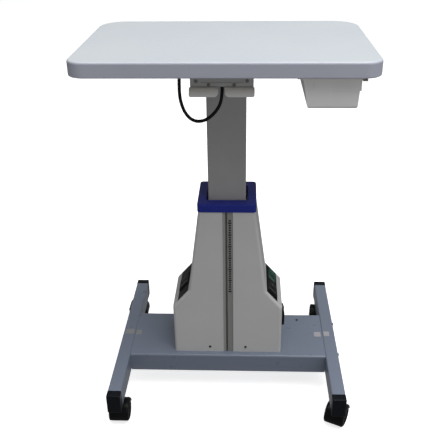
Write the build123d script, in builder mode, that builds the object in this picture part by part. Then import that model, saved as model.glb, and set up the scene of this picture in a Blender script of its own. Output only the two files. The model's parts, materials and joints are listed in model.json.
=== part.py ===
"""Motor-driven instrument table for an optician's slit lamp, raised to its working height.

A cushioned-edge top on a lifting column, a two-part housing round the drive, and a wide
base of two steel beams on twin-wheel casters. Millimetres, +X right, +Y back, +Z up,
origin on the floor under the middle of the table.
"""

from build123d import *
import os
from math import cos, pi, radians, sin, tan

# ---------------------------------------------------------------- driving dimensions
TOP_WIDTH = 600
TOP_DEPTH = 400
TOP_THICK = 31
TOP_HEIGHT = 880            # top surface at full lift
TOP_CORNER_FRONT = 35
TOP_CORNER_BACK = 58
TOP_SKIN = 3
LIFT_TRAVEL = 220

MAST_Y = -5                 # centre line of column, collar and housing
COLUMN_WIDTH = 87
COLUMN_DEPTH = 72
COLUMN_WALL = 3
COLUMN_CORNER = 4
GUIDE_GAP = 3               # between inner and outer column, filled by the pads
PAD_CLEARANCE = 0.3
OUTER_WALL = 4

BASE_HALF_WIDTH = 280
BEAM_WIDTH = 32
BEAM_HEIGHT = 50
BEAM_LENGTH = 465
BEAM_BOTTOM = 62
CAP_LENGTH = 20
CHANNEL_TOP = 110
CHANNEL_DEPTH = 180
CHANNEL_Y = -3.5
CHANNEL_FLANGE = 53
SHEET = 3

HOUSING_TOP = 507
# front and back faces lean inwards: their Y at the base plate and at the top
HOUSING_FRONT_LOW = -78
HOUSING_FRONT_HIGH = -69.5
HOUSING_BACK_LOW = 78
HOUSING_BACK_HIGH = 59.5
HOUSING_WALL = 4
HOUSING_LOW_HALF = 135      # half width below the shoulders
SHOULDER_LOW_Z = 243
SHOULDER_HIGH_Z = 291
SHOULDER_HIGH_HALF = 94.6
HOUSING_TOP_HALF = 66
SEAM_X = -1
SEAM_GAP = 1.6
COLLAR_TOP = 524

WHEEL_RADIUS = 27
CASTER_TRAIL = 17
CASTER_STEM_X = 261
CASTER_STEM_Y = 220
# direction, in degrees from +X, in which each caster trails behind its stem
CASTER_TRAILS = {"front_left": 90, "front_right": 64, "back_left": 180, "back_right": 262}

CABLE_DIAMETER = 7
RUNNING_FIT = 0.05          # radial clearance of shafts in their bores

# ---------------------------------------------------------------- derived dimensions
TOP_UNDERSIDE = TOP_HEIGHT - TOP_THICK
BEAM_TOP = BEAM_BOTTOM + BEAM_HEIGHT
BEAM_X = BASE_HALF_WIDTH - BEAM_WIDTH / 2
CHANNEL_HALF = BASE_HALF_WIDTH - BEAM_WIDTH
CHANNEL_BOTTOM = CHANNEL_TOP - CHANNEL_FLANGE
HOUSING_HEIGHT = HOUSING_TOP - CHANNEL_TOP
HOUSING_LEAN_FRONT = (HOUSING_FRONT_HIGH - HOUSING_FRONT_LOW) / HOUSING_HEIGHT
HOUSING_LEAN_BACK = (HOUSING_BACK_HIGH - HOUSING_BACK_LOW) / HOUSING_HEIGHT
OUTER_INSIDE_WIDTH = COLUMN_WIDTH + 2 * GUIDE_GAP
OUTER_INSIDE_DEPTH = COLUMN_DEPTH + 2 * GUIDE_GAP

os.makedirs("parts", exist_ok=True)


def facing_front(y, x=0, z=0):
    """Plane whose sketch x is +X and sketch y is +Z, seen from the front."""
    return Plane(origin=(x, y, z), x_dir=(1, 0, 0), z_dir=(0, -1, 0))


def facing_right(x, y=0, z=0):
    """Plane whose sketch x is +Y and sketch y is +Z, seen from the right."""
    return Plane(origin=(x, y, z), x_dir=(0, 1, 0), z_dir=(1, 0, 0))


def housing_front_plane(z):
    """Plane on the leaning front of the housing at height z, sketch x is +X, z points out."""
    y = HOUSING_FRONT_LOW + (z - CHANNEL_TOP) * HOUSING_LEAN_FRONT
    return Plane(origin=(0, y, z), x_dir=(1, 0, 0), z_dir=(0, -1, HOUSING_LEAN_FRONT))


def housing_back_plane(z):
    """Plane on the leaning back of the housing at height z, sketch x is -X, z points out."""
    y = HOUSING_BACK_LOW + (z - CHANNEL_TOP) * HOUSING_LEAN_BACK
    return Plane(origin=(0, y, z), x_dir=(-1, 0, 0), z_dir=(0, 1, -HOUSING_LEAN_BACK))


def write(part, name):
    part.label = name
    export_step(part, f"parts/{name}.step")


# ================================================================ tabletop
with BuildPart() as tabletop_cover:
    with BuildSketch(Plane.XY.offset(TOP_UNDERSIDE)):
        Rectangle(TOP_WIDTH, TOP_DEPTH)
        fillet(vertices().group_by(Axis.Y)[0], radius=TOP_CORNER_FRONT)
        fillet(vertices().group_by(Axis.Y)[-1], radius=TOP_CORNER_BACK)
    extrude(amount=TOP_THICK)
    fillet(tabletop_cover.faces().sort_by(Axis.Z)[-1].edges(), radius=5)
    fillet(tabletop_cover.faces().sort_by(Axis.Z)[0].edges(), radius=2.5)
    with BuildSketch(Plane.XY.offset(TOP_UNDERSIDE)):
        Rectangle(TOP_WIDTH - 2 * TOP_SKIN, TOP_DEPTH - 2 * TOP_SKIN)
        fillet(vertices().group_by(Axis.Y)[0], radius=TOP_CORNER_FRONT - TOP_SKIN)
        fillet(vertices().group_by(Axis.Y)[-1], radius=TOP_CORNER_BACK - TOP_SKIN)
    extrude(amount=TOP_THICK - TOP_SKIN, mode=Mode.SUBTRACT)
write(tabletop_cover.part, "tabletop_cover")

BRACKET_LEFT = -72
BRACKET_RIGHT = 58
BRACKET_X = (BRACKET_LEFT + BRACKET_RIGHT) / 2
BRACKET_WIDTH = BRACKET_RIGHT - BRACKET_LEFT
BRACKET_HEIGHT = 46
BRACKET_BOTTOM = TOP_UNDERSIDE - BRACKET_HEIGHT
BRACKET_FRONT = -95
BRACKET_BACK = 87
BRACKET_MID_Y = (BRACKET_FRONT + BRACKET_BACK) / 2

RAIL_LEFT_X = 138           # outer faces of the two runners of the tray
RAIL_RIGHT_X = 271.5
RAIL_LEFT_FRONT = -168
RAIL_RIGHT_FRONT = -188
RAIL_BACK = 60
RAIL_HEIGHT = 8
RAIL_SHEET = 1.6
RAIL_FLANGE = 14
SCREW_SHANK = 2
SCREW_HEAD = 4
CABLE_EXIT = (-91.5, -106)
BRACKET_SCREW_SPOTS = [(x, y) for x in (BRACKET_LEFT + 10, BRACKET_RIGHT - 10) for y in (-84, 74)]
RAIL_SCREW_SPOTS = [
    (x, y) for x in (RAIL_LEFT_X + 8, RAIL_RIGHT_X - 8) for y in (-146, RAIL_BACK - 22)
]

with BuildPart() as tabletop_core:
    with BuildSketch(Plane.XY.offset(TOP_UNDERSIDE)):
        Rectangle(TOP_WIDTH - 2 * TOP_SKIN, TOP_DEPTH - 2 * TOP_SKIN)
        fillet(vertices().group_by(Axis.Y)[0], radius=TOP_CORNER_FRONT - TOP_SKIN)
        fillet(vertices().group_by(Axis.Y)[-1], radius=TOP_CORNER_BACK - TOP_SKIN)
    extrude(amount=TOP_THICK - TOP_SKIN)
    with BuildSketch(Plane.XY.offset(TOP_UNDERSIDE)):
        with Locations(*BRACKET_SCREW_SPOTS, *RAIL_SCREW_SPOTS):
            Circle(SCREW_SHANK + 0.05)
    extrude(amount=20, mode=Mode.SUBTRACT)
write(tabletop_core.part, "tabletop_core")

# ================================================================ bracket and column head
BRACKET_SCREWS_FRONT = [(-59.6, 815.5), (45, 816), (-33.9, 808), (18.5, 808)]
SLOT_BAND_Z = 815
BRACKET_SCREW = 2.5
BRACKET_SCREW_HEAD = 3.7

with BuildPart() as table_bracket:
    with BuildSketch(facing_right(BRACKET_LEFT)):
        with Locations((BRACKET_MID_Y, TOP_UNDERSIDE - BRACKET_HEIGHT / 2)):
            Rectangle(BRACKET_BACK - BRACKET_FRONT, BRACKET_HEIGHT)
        fillet(vertices().group_by(Axis.Z)[-1], radius=4)
        with Locations((BRACKET_MID_Y, TOP_UNDERSIDE - BRACKET_HEIGHT / 2 - SHEET)):
            Rectangle(BRACKET_BACK - BRACKET_FRONT - 2 * SHEET, BRACKET_HEIGHT, mode=Mode.SUBTRACT)
    extrude(amount=BRACKET_WIDTH)
    # pressed groove along the front wall
    with BuildSketch(facing_front(BRACKET_FRONT)):
        with Locations((-7, SLOT_BAND_Z)):
            SlotOverall(88, 6.5)
    extrude(amount=-1.8, mode=Mode.SUBTRACT)
    with BuildSketch(facing_front(BRACKET_FRONT)):
        with Locations(*BRACKET_SCREWS_FRONT):
            Circle(BRACKET_SCREW + 0.3)
    extrude(amount=-200, mode=Mode.SUBTRACT)
    with BuildSketch(Plane.XY.offset(TOP_UNDERSIDE)):
        with Locations(*BRACKET_SCREW_SPOTS):
            Circle(SCREW_SHANK + 0.2)
    extrude(amount=-SHEET, mode=Mode.SUBTRACT)
write(table_bracket.part, "table_bracket")

HEAD_PLATE = 4
LIP_RADIUS = 16
NOTCH_LEFT = -14.2
NOTCH_RIGHT = -0.4
LIP_FLARE = 2
HEAD_UNDERSIDE = BRACKET_BOTTOM - HEAD_PLATE

with BuildPart() as column_head_plate:
    with BuildSketch(Plane.XY.offset(HEAD_UNDERSIDE)):
        with Locations((BRACKET_X, BRACKET_MID_Y)):
            Rectangle(BRACKET_WIDTH, BRACKET_BACK - BRACKET_FRONT)
    extrude(amount=HEAD_PLATE)
    # two lips rolled down at the front, one each side of the cable notch
    with BuildSketch(facing_right(BRACKET_LEFT - LIP_FLARE)):
        with Locations((BRACKET_FRONT, BRACKET_BOTTOM - LIP_RADIUS)):
            Circle(LIP_RADIUS)
            Circle(LIP_RADIUS - HEAD_PLATE, mode=Mode.SUBTRACT)
        with Locations((BRACKET_FRONT, BRACKET_BOTTOM - LIP_RADIUS)):
            Rectangle(LIP_RADIUS, LIP_RADIUS, align=(Align.MAX, Align.MIN), mode=Mode.INTERSECT)
    extrude(amount=BRACKET_WIDTH + 2 * LIP_FLARE)
    with BuildSketch(Plane.XY.offset(HEAD_UNDERSIDE)):
        with Locations(((NOTCH_LEFT + NOTCH_RIGHT) / 2, BRACKET_FRONT + 18)):
            Rectangle(NOTCH_RIGHT - NOTCH_LEFT, 200, align=(Align.CENTER, Align.MAX))
    extrude(amount=-LIP_RADIUS, both=True, mode=Mode.SUBTRACT)
    lip_ends = column_head_plate.faces().sort_by(Axis.Z)[:2].edges().filter_by(Axis.Y).sort_by(Axis.X)
    fillet([lip_ends[0], lip_ends[-1]], radius=4)
    lip_ends = column_head_plate.faces().sort_by(Axis.Z)[:2].edges().filter_by(Axis.Y).sort_by(Axis.X)
    fillet(lip_ends[1:3], radius=9)
write(column_head_plate.part, "column_head_plate")

CASTING_FRONT = -78
CASTING_BACK = 68
BOSS_RADIUS = 7
STRAIN_RELIEF = (-6.5, -86)
STRAIN_RELIEF_Z = 808
STRAIN_RELIEF_RADIUS = 6

with BuildPart() as column_head_casting:
    with BuildSketch(Plane.XY.offset(BRACKET_BOTTOM)):
        with Locations((BRACKET_X, (CASTING_FRONT + CASTING_BACK) / 2)):
            Rectangle(BRACKET_WIDTH - 6, CASTING_BACK - CASTING_FRONT)
    extrude(amount=BRACKET_HEIGHT - SHEET)
    fillet(column_head_casting.edges().filter_by(Axis.Z), radius=6)
    # two open pockets leave a cross rib
    with BuildSketch(Plane.XY.offset(BRACKET_BOTTOM + 6)):
        with Locations((BRACKET_X, CASTING_FRONT + 40), (BRACKET_X, CASTING_BACK - 40)):
            RectangleRounded(BRACKET_WIDTH - 46, 52, 8)
    extrude(amount=BRACKET_HEIGHT, mode=Mode.SUBTRACT)
    for wall_y, reach in ((BRACKET_FRONT + SHEET, -16), (BRACKET_BACK - SHEET, 18)):
        with BuildSketch(facing_front(wall_y)):
            with Locations(*[(x, BRACKET_BOTTOM) for x, z in BRACKET_SCREWS_FRONT]):
                Rectangle(2 * BOSS_RADIUS, 18, align=(Align.CENTER, Align.MIN))
        extrude(amount=reach)
    # ledge that holds the strain relief of the cable
    with BuildSketch(Plane.XY.offset(STRAIN_RELIEF_Z + 2)):
        with Locations((STRAIN_RELIEF[0], CASTING_FRONT + 1)):
            Rectangle(18, 15, align=(Align.CENTER, Align.MAX))
    extrude(amount=4)
    with BuildSketch(Plane.XY.offset(STRAIN_RELIEF_Z)):
        with Locations(STRAIN_RELIEF):
            Circle(STRAIN_RELIEF_RADIUS + 0.05)
    extrude(amount=8, mode=Mode.SUBTRACT)
    with BuildSketch(facing_front(BRACKET_FRONT)):
        with Locations(*BRACKET_SCREWS_FRONT):
            Circle(BRACKET_SCREW + RUNNING_FIT)
    extrude(amount=-26, mode=Mode.SUBTRACT)
    with BuildSketch(facing_front(BRACKET_BACK)):
        with Locations(*BRACKET_SCREWS_FRONT):
            Circle(BRACKET_SCREW + RUNNING_FIT)
    extrude(amount=26, mode=Mode.SUBTRACT)
    # clearance round the heads of the screws that hold the top
    with BuildSketch(Plane.XY.offset(TOP_UNDERSIDE - SHEET)):
        with Locations(*BRACKET_SCREW_SPOTS):
            Circle(SCREW_HEAD + 1)
    extrude(amount=-5, mode=Mode.SUBTRACT)
write(column_head_casting.part, "column_head_casting")

with BuildPart() as bracket_screws:
    for face_y, outward in ((BRACKET_FRONT, 1), (BRACKET_BACK, -1)):
        with BuildSketch(facing_front(face_y)):
            with Locations(*BRACKET_SCREWS_FRONT):
                Circle(BRACKET_SCREW)
        extrude(amount=-22 * outward)
        with BuildSketch(facing_front(face_y)):
            with Locations(*BRACKET_SCREWS_FRONT):
                Circle(BRACKET_SCREW_HEAD)
        extrude(amount=2.3 * outward)
write(bracket_screws.part, "bracket_screws")

with BuildPart() as underside_screws:
    with BuildSketch(Plane.XY.offset(TOP_UNDERSIDE - SHEET)):
        with Locations(*BRACKET_SCREW_SPOTS, *RAIL_SCREW_SPOTS):
            Circle(SCREW_SHANK)
    extrude(amount=18)
    with BuildSketch(Plane.XY.offset(TOP_UNDERSIDE - SHEET)):
        with Locations(*BRACKET_SCREW_SPOTS):
            Circle(SCREW_HEAD)
    extrude(amount=-2.4)
    # countersunk heads, flush with the thin sheet of the runners
    with BuildSketch(Plane.XY.offset(TOP_UNDERSIDE - SHEET)):
        with Locations(*RAIL_SCREW_SPOTS):
            Circle(SCREW_HEAD)
    extrude(amount=SHEET - RAIL_SHEET, mode=Mode.SUBTRACT)
    with Locations(*[(x, y, TOP_UNDERSIDE - RAIL_SHEET / 2) for x, y in RAIL_SCREW_SPOTS]):
        Cone(bottom_radius=SCREW_HEAD - 0.4, top_radius=SCREW_SHANK, height=RAIL_SHEET)
write(underside_screws.part, "underside_screws")

# ================================================================ drawer
TRAY_LEFT_TOP = 150.5
TRAY_RIGHT_TOP = 260
TRAY_LEFT_LOW = 161.2
TRAY_RIGHT_LOW = 257
TRAY_BAND_RIGHT = 261.6
TRAY_FRONT = -182
TRAY_BACK = 20
TRAY_TOP = 845
TRAY_BOTTOM = 785.5
TRAY_WALL = 2.5
TRAY_BAND = 24
TRAY_LIP = 1.8
LEDGE_TOP = TOP_UNDERSIDE - RAIL_HEIGHT + RAIL_SHEET


def tray_outline(inset):
    """Front view of the tray, narrower towards its bottom."""
    return [
        (TRAY_LEFT_TOP + inset, TRAY_TOP),
        (TRAY_LEFT_LOW + inset, TRAY_BOTTOM + inset),
        (TRAY_RIGHT_LOW - inset, TRAY_BOTTOM + inset),
        (TRAY_RIGHT_TOP - inset, TRAY_TOP),
    ]


with BuildPart() as drawer_tray:
    with BuildSketch(facing_front(TRAY_BACK)):
        Polygon(*tray_outline(0), align=None)
    extrude(amount=TRAY_BACK - TRAY_FRONT)
    fillet(drawer_tray.faces().sort_by(Axis.Z)[0].edges(), radius=6)
    # raised band round the upper part of the front and the right side
    with BuildSketch(Plane.XY.offset(TRAY_TOP - TRAY_BAND)):
        with Locations((TRAY_BAND_RIGHT, TRAY_FRONT - 1)):
            Rectangle(90, TRAY_BACK - TRAY_FRONT + 1, align=(Align.MAX, Align.MIN))
    extrude(amount=TRAY_BAND)
    # lips that run in the two runners
    with BuildSketch(Plane.XY.offset(LEDGE_TOP + 0.6)):
        with Locations(((RAIL_LEFT_X + RAIL_RIGHT_X) / 2, (TRAY_FRONT + TRAY_BACK) / 2)):
            Rectangle(RAIL_RIGHT_X - RAIL_LEFT_X - 2 * RAIL_SHEET - 1.2, TRAY_BACK - TRAY_FRONT)
    extrude(amount=TRAY_LIP)
    with BuildSketch(facing_front(TRAY_BACK - TRAY_WALL)):
        Polygon(*tray_outline(TRAY_WALL), align=None)
    extrude(amount=TRAY_BACK - TRAY_FRONT - 2 * TRAY_WALL, mode=Mode.SUBTRACT)
    with BuildSketch(Plane.XY.offset(TRAY_TOP)):
        with Locations(((TRAY_LEFT_TOP + TRAY_RIGHT_TOP) / 2, (TRAY_FRONT + TRAY_BACK) / 2)):
            Rectangle(TRAY_RIGHT_TOP - TRAY_LEFT_TOP - 2 * TRAY_WALL, TRAY_BACK - TRAY_FRONT - 2 * TRAY_WALL)
    extrude(amount=8, mode=Mode.SUBTRACT)
write(drawer_tray.part, "drawer_tray")

for inward, name, rail_x, rail_front in (
    (1, "drawer_rail_left", RAIL_LEFT_X, RAIL_LEFT_FRONT),
    (-1, "drawer_rail_right", RAIL_RIGHT_X, RAIL_RIGHT_FRONT),
):
    ledge = (TRAY_LEFT_TOP - 1.5 - rail_x) if inward > 0 else (rail_x - TRAY_BAND_RIGHT - 0.8)
    side = Align.MIN if inward > 0 else Align.MAX
    with BuildPart() as rail:
        # channel section open towards the tray, with a stop at its back end
        with BuildSketch(facing_front(RAIL_BACK, x=rail_x)):
            with Locations((0, TOP_UNDERSIDE)):
                Rectangle(RAIL_FLANGE, RAIL_SHEET, align=(side, Align.MAX))
                Rectangle(RAIL_SHEET, RAIL_HEIGHT, align=(side, Align.MAX))
            with Locations((0, LEDGE_TOP)):
                Rectangle(ledge, RAIL_SHEET, align=(side, Align.MAX))
        extrude(amount=RAIL_BACK - rail_front)
        with BuildSketch(facing_front(TRAY_BACK + 2, x=rail_x)):
            with Locations((0, LEDGE_TOP)):
                Rectangle(ledge, RAIL_HEIGHT - 2 * RAIL_SHEET, align=(side, Align.MIN))
        extrude(amount=-2)
        with Locations(
            *[
                (x, y, TOP_UNDERSIDE - RAIL_SHEET / 2)
                for x, y in RAIL_SCREW_SPOTS
                if abs(x - rail_x) < 20
            ]
        ):
            Cone(
                bottom_radius=SCREW_HEAD - 0.4 + RUNNING_FIT,
                top_radius=SCREW_SHANK + RUNNING_FIT,
                height=RAIL_SHEET,
                mode=Mode.SUBTRACT,
            )
    write(rail.part, name)

# ================================================================ cable
CABLE_TOP = TOP_UNDERSIDE - 8
cable_points = [
    (CABLE_EXIT[0], CABLE_EXIT[1], CABLE_TOP),
    (-93.5, -106, 809),
    (-92.3, -105.8, 778),
    (-83, -105, 750),
    (-66, -104, 733),
    (-42, -102, 733.5),
    (-19, -98.5, 752),
    (-6, -93.5, 778),
    (STRAIN_RELIEF[0], STRAIN_RELIEF[1], STRAIN_RELIEF_Z),
]


def bend_radii(points):
    """Largest tangent arc at each corner: 0.45 of the shorter run over tan(half the turn)."""
    radii = []
    for before, corner, after in zip(points, points[1:], points[2:]):
        run_in = Vector(*corner) - Vector(*before)
        run_out = Vector(*after) - Vector(*corner)
        half_turn = radians(run_in.get_angle(run_out)) / 2
        radii.append(0.45 * min(run_in.length, run_out.length) / tan(half_turn))
    return radii


cable_radii = bend_radii(cable_points)
print("cable bend radii", [round(radius, 1) for radius in cable_radii])
with BuildPart() as instrument_cable:
    with BuildLine() as cable_route:
        FilletPolyline(*cable_points, radius=cable_radii)
    with BuildSketch(Plane(origin=cable_route.line @ 0, z_dir=cable_route.line % 0)):
        Circle(CABLE_DIAMETER / 2)
    sweep(path=cable_route.line)
cable_length = sum(edge.length for edge in cable_route.edges())
print("cable length", round(cable_length, 1))
print("volume over section x length", instrument_cable.part.volume / (pi * CABLE_DIAMETER**2 / 4 * cable_length))
write(instrument_cable.part, "instrument_cable")

with BuildPart() as cable_grommets:
    with BuildSketch(Plane.XY.offset(CABLE_TOP)):
        with Locations(CABLE_EXIT):
            Circle(CABLE_DIAMETER / 2 + 1.5)
    extrude(amount=TOP_UNDERSIDE - CABLE_TOP, taper=-14)
    with BuildSketch(Plane.XY.offset(STRAIN_RELIEF_Z)):
        with Locations(STRAIN_RELIEF):
            Circle(STRAIN_RELIEF_RADIUS)
    extrude(amount=12)
write(cable_grommets.part, "cable_grommets")

# ================================================================ lifting column
INNER_BOTTOM = 390
PAD_HEIGHT = 40
PAD_THICK = GUIDE_GAP - PAD_CLEARANCE
OUTER_TOP = 505
OUTER_FOOT = 6
GEARBOX_BOTTOM = CHANNEL_TOP + OUTER_FOOT
GEARBOX_HEIGHT = 46
GEARBOX_TOP = GEARBOX_BOTTOM + GEARBOX_HEIGHT
SCREW_RADIUS = 10
JOURNAL_RADIUS = 7

with BuildPart() as inner_column:
    with BuildSketch(Plane.XY.offset(INNER_BOTTOM)):
        with Locations((0, MAST_Y)):
            RectangleRounded(COLUMN_WIDTH, COLUMN_DEPTH, COLUMN_CORNER)
            RectangleRounded(
                COLUMN_WIDTH - 2 * COLUMN_WALL, COLUMN_DEPTH - 2 * COLUMN_WALL, 1.5, mode=Mode.SUBTRACT
            )
    extrude(amount=HEAD_UNDERSIDE - INNER_BOTTOM)
write(inner_column.part, "inner_column")


for name, bottom, gap in (
    ("lower_glide_pads", INNER_BOTTOM + 2, 0),
    ("upper_glide_pads", OUTER_TOP - PAD_HEIGHT - 4, PAD_CLEARANCE),
):
    half_width = COLUMN_WIDTH / 2 + gap
    half_depth = COLUMN_DEPTH / 2 + gap
    with BuildPart() as pads:
        with BuildSketch(Plane.XY.offset(bottom)):
            with Locations((0, MAST_Y + half_depth), (0, MAST_Y - half_depth - PAD_THICK)):
                Rectangle(60, PAD_THICK, align=(Align.CENTER, Align.MIN))
            with Locations((half_width, MAST_Y), (-half_width - PAD_THICK, MAST_Y)):
                Rectangle(PAD_THICK, 46, align=(Align.MIN, Align.CENTER))
        extrude(amount=PAD_HEIGHT)
    write(pads.part, name)

MOTOR_CUT_Y = (MAST_Y - 24, MAST_Y + 24)
EARTH_SCREW = (184.6, 60)
FOOT_BOLTS = [(x, MAST_Y + y) for x in (-62, 62) for y in (-30, 30)]

with BuildPart() as outer_column:
    with BuildSketch(Plane.XY.offset(CHANNEL_TOP)):
        with Locations((0, MAST_Y)):
            RectangleRounded(148, 92, 8)
    extrude(amount=OUTER_FOOT)
    with BuildSketch(Plane.XY.offset(GEARBOX_BOTTOM)):
        with Locations((0, MAST_Y)):
            RectangleRounded(OUTER_INSIDE_WIDTH + 2 * OUTER_WALL, OUTER_INSIDE_DEPTH + 2 * OUTER_WALL, 6)
            RectangleRounded(OUTER_INSIDE_WIDTH, OUTER_INSIDE_DEPTH, 2, mode=Mode.SUBTRACT)
    extrude(amount=OUTER_TOP - GEARBOX_BOTTOM)
    # way out for the motor on the right
    with BuildSketch(facing_right(OUTER_INSIDE_WIDTH / 2 - 5)):
        with Locations((MAST_Y, GEARBOX_BOTTOM)):
            Rectangle(MOTOR_CUT_Y[1] - MOTOR_CUT_Y[0], 50, align=(Align.CENTER, Align.MIN))
    extrude(amount=20, mode=Mode.SUBTRACT)
    with BuildSketch(Plane.XY.offset(CHANNEL_TOP)):
        with Locations(*FOOT_BOLTS):
            Circle(4.2)
    extrude(amount=OUTER_FOOT, mode=Mode.SUBTRACT)
write(outer_column.part, "outer_column")

with BuildPart() as lead_nut:
    with BuildSketch(Plane.XY.offset(INNER_BOTTOM)):
        with Locations((0, MAST_Y)):
            RectangleRounded(COLUMN_WIDTH - 2 * COLUMN_WALL, COLUMN_DEPTH - 2 * COLUMN_WALL, 1.5)
    extrude(amount=8)
    with BuildSketch(Plane.XY.offset(INNER_BOTTOM + 8)):
        with Locations((0, MAST_Y)):
            Circle(16)
    extrude(amount=32)
    with BuildSketch(Plane.XY.offset(INNER_BOTTOM)):
        with Locations((0, MAST_Y)):
            Circle(SCREW_RADIUS + RUNNING_FIT)
    extrude(amount=40, mode=Mode.SUBTRACT)
write(lead_nut.part, "lead_nut")

with BuildPart() as lead_screw:
    with BuildSketch(Plane.XY.offset(GEARBOX_BOTTOM + 5)):
        with Locations((0, MAST_Y)):
            Circle(JOURNAL_RADIUS)
    extrude(amount=GEARBOX_HEIGHT)
    with BuildSketch(Plane.XY.offset(GEARBOX_TOP + PAD_CLEARANCE)):
        with Locations((0, MAST_Y)):
            Circle(14)
    extrude(amount=3.5)
    with BuildSketch(Plane.XY.offset(GEARBOX_TOP + PAD_CLEARANCE)):
        with Locations((0, MAST_Y)):
            Circle(SCREW_RADIUS)
    extrude(amount=INNER_BOTTOM + 48 - GEARBOX_TOP)
    chamfer(lead_screw.faces().sort_by(Axis.Z)[-1].edges(), length=1.5)
write(lead_screw.part, "lead_screw")

with BuildPart() as gearbox_case:
    with BuildSketch(Plane.XY.offset(GEARBOX_BOTTOM)):
        with Locations((0, MAST_Y)):
            RectangleRounded(72, 60, 8)
    extrude(amount=GEARBOX_HEIGHT)
    chamfer(gearbox_case.faces().sort_by(Axis.Z)[-1].edges(), length=2)
    with BuildSketch(Plane.XY.offset(GEARBOX_BOTTOM + 4)):
        with Locations((0, MAST_Y)):
            Circle(JOURNAL_RADIUS + RUNNING_FIT)
    extrude(amount=GEARBOX_HEIGHT, mode=Mode.SUBTRACT)
write(gearbox_case.part, "gearbox_case")

MOTOR_Z = GEARBOX_BOTTOM + 24
with BuildPart() as lift_motor:
    with BuildSketch(facing_right(36)):
        with Locations((MAST_Y, MOTOR_Z)):
            Circle(21)
    extrude(amount=54)
    with BuildSketch(facing_right(90)):
        with Locations((MAST_Y, MOTOR_Z)):
            Circle(15)
    extrude(amount=6)
    fillet(lift_motor.faces().sort_by(Axis.X)[-1].edges(), radius=2)
write(lift_motor.part, "lift_motor")

with BuildPart() as limit_switches:
    outer_left = -OUTER_INSIDE_WIDTH / 2 - OUTER_WALL
    for switch_z in (196, 446):
        with BuildSketch(Plane.XY.offset(switch_z)):
            with Locations((outer_left, MAST_Y)):
                Rectangle(9, 20, align=(Align.MAX, Align.CENTER))
        extrude(amount=12)
        with BuildSketch(Plane.XY.offset(switch_z + 12)):
            with Locations((outer_left - 4, MAST_Y + 5)):
                Rectangle(4, 3)
        extrude(amount=2)
write(limit_switches.part, "limit_switches")

with BuildPart() as transformer:
    with BuildSketch(Plane.XY.offset(CHANNEL_TOP)):
        with Locations((-98, MAST_Y)):
            Rectangle(38, 60)
    extrude(amount=50)
    with BuildSketch(Plane.XY.offset(CHANNEL_TOP + 10)):
        with Locations((-98, MAST_Y)):
            RectangleRounded(46, 44, 4)
    extrude(amount=30)
write(transformer.part, "transformer")

with BuildPart() as control_board:
    with BuildSketch(Plane.XY.offset(CHANNEL_TOP + 6)):
        with Locations((-127.5, MAST_Y)):
            Rectangle(1.6, 100)
    extrude(amount=110)
    # relays and terminal block
    for part_y, part_z, width, height, reach in ((-28, 185, 20, 26, 14), (0, 185, 20, 26, 14), (28, 180, 36, 12, 10)):
        with BuildSketch(facing_right(-126.7)):
            with Locations((MAST_Y + part_y, part_z)):
                Rectangle(width, height)
        extrude(amount=reach)
write(control_board.part, "control_board")

# ================================================================ collar and housing
COLLAR_SKIRT = 2.5          # how far the collar reaches down round the top of the housing

with BuildPart() as collar:
    with BuildSketch(Plane.XY.offset(HOUSING_TOP - COLLAR_SKIRT)):
        with Locations((0, MAST_Y)):
            RectangleRounded(136.4, 132.6, 8.5)
    extrude(amount=COLLAR_TOP - HOUSING_TOP + COLLAR_SKIRT)
    with BuildSketch(Plane.XY.offset(HOUSING_TOP - COLLAR_SKIRT)):
        with Locations((0, MAST_Y)):
            RectangleRounded(133.4, 129.7, 6.5)
    extrude(amount=COLLAR_SKIRT, mode=Mode.SUBTRACT)
    with BuildSketch(Plane.XY.offset(HOUSING_TOP)):
        with Locations((0, MAST_Y)):
            RectangleRounded(94, 79, 4)
    extrude(amount=COLLAR_TOP - HOUSING_TOP, mode=Mode.SUBTRACT)
    fillet(collar.faces().sort_by(Axis.Z)[-1].edges(), radius=2.5)
write(collar.part, "collar")

SHOULDER_RUN = HOUSING_LOW_HALF - SHOULDER_HIGH_HALF
SHOULDER_DROP = SHOULDER_HIGH_Z - SHOULDER_LOW_Z
SHOULDER_LENGTH = (SHOULDER_RUN**2 + SHOULDER_DROP**2) ** 0.5
PANEL_MIDDLE = 23.5         # down the shoulder from its upper edge
PANEL_WIDTH = 41
PANEL_LENGTH = 130
PANEL_RECESS = 2
PANEL_Y = -3


def shoulder_plane(side):
    """Plane on the left (-1) or right (+1) shoulder: sketch x is +Y, sketch z points out."""
    share = PANEL_MIDDLE / SHOULDER_LENGTH
    return Plane(
        origin=(
            side * (SHOULDER_HIGH_HALF + share * SHOULDER_RUN),
            PANEL_Y,
            SHOULDER_HIGH_Z - share * SHOULDER_DROP,
        ),
        x_dir=(0, 1, 0),
        z_dir=(side * SHOULDER_DROP / SHOULDER_LENGTH, 0, SHOULDER_RUN / SHOULDER_LENGTH),
    )


INLET_Y = 10
INLET_Z = 166
INLET_WIDTH = 30
INLET_HEIGHT = 50
SEAM_GROOVE_LEFT = -10.5
SEAM_GROOVE_RIGHT = 14
HOUSING_SCREW_X = 45
HOUSING_SCREW_PLANES = (housing_front_plane(125), housing_back_plane(125))
PAN_HEAD = 3.2

housing_corners = [
    (HOUSING_LOW_HALF, CHANNEL_TOP),
    (HOUSING_LOW_HALF, SHOULDER_LOW_Z),
    (SHOULDER_HIGH_HALF, SHOULDER_HIGH_Z),
    (HOUSING_TOP_HALF, HOUSING_TOP),
]
housing_outline = housing_corners + [(-x, z) for x, z in reversed(housing_corners)]

side_profile = [
    (HOUSING_FRONT_LOW, CHANNEL_TOP),
    (HOUSING_BACK_LOW, CHANNEL_TOP),
    (HOUSING_BACK_HIGH, HOUSING_TOP),
    (HOUSING_FRONT_HIGH, HOUSING_TOP),
]

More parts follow.
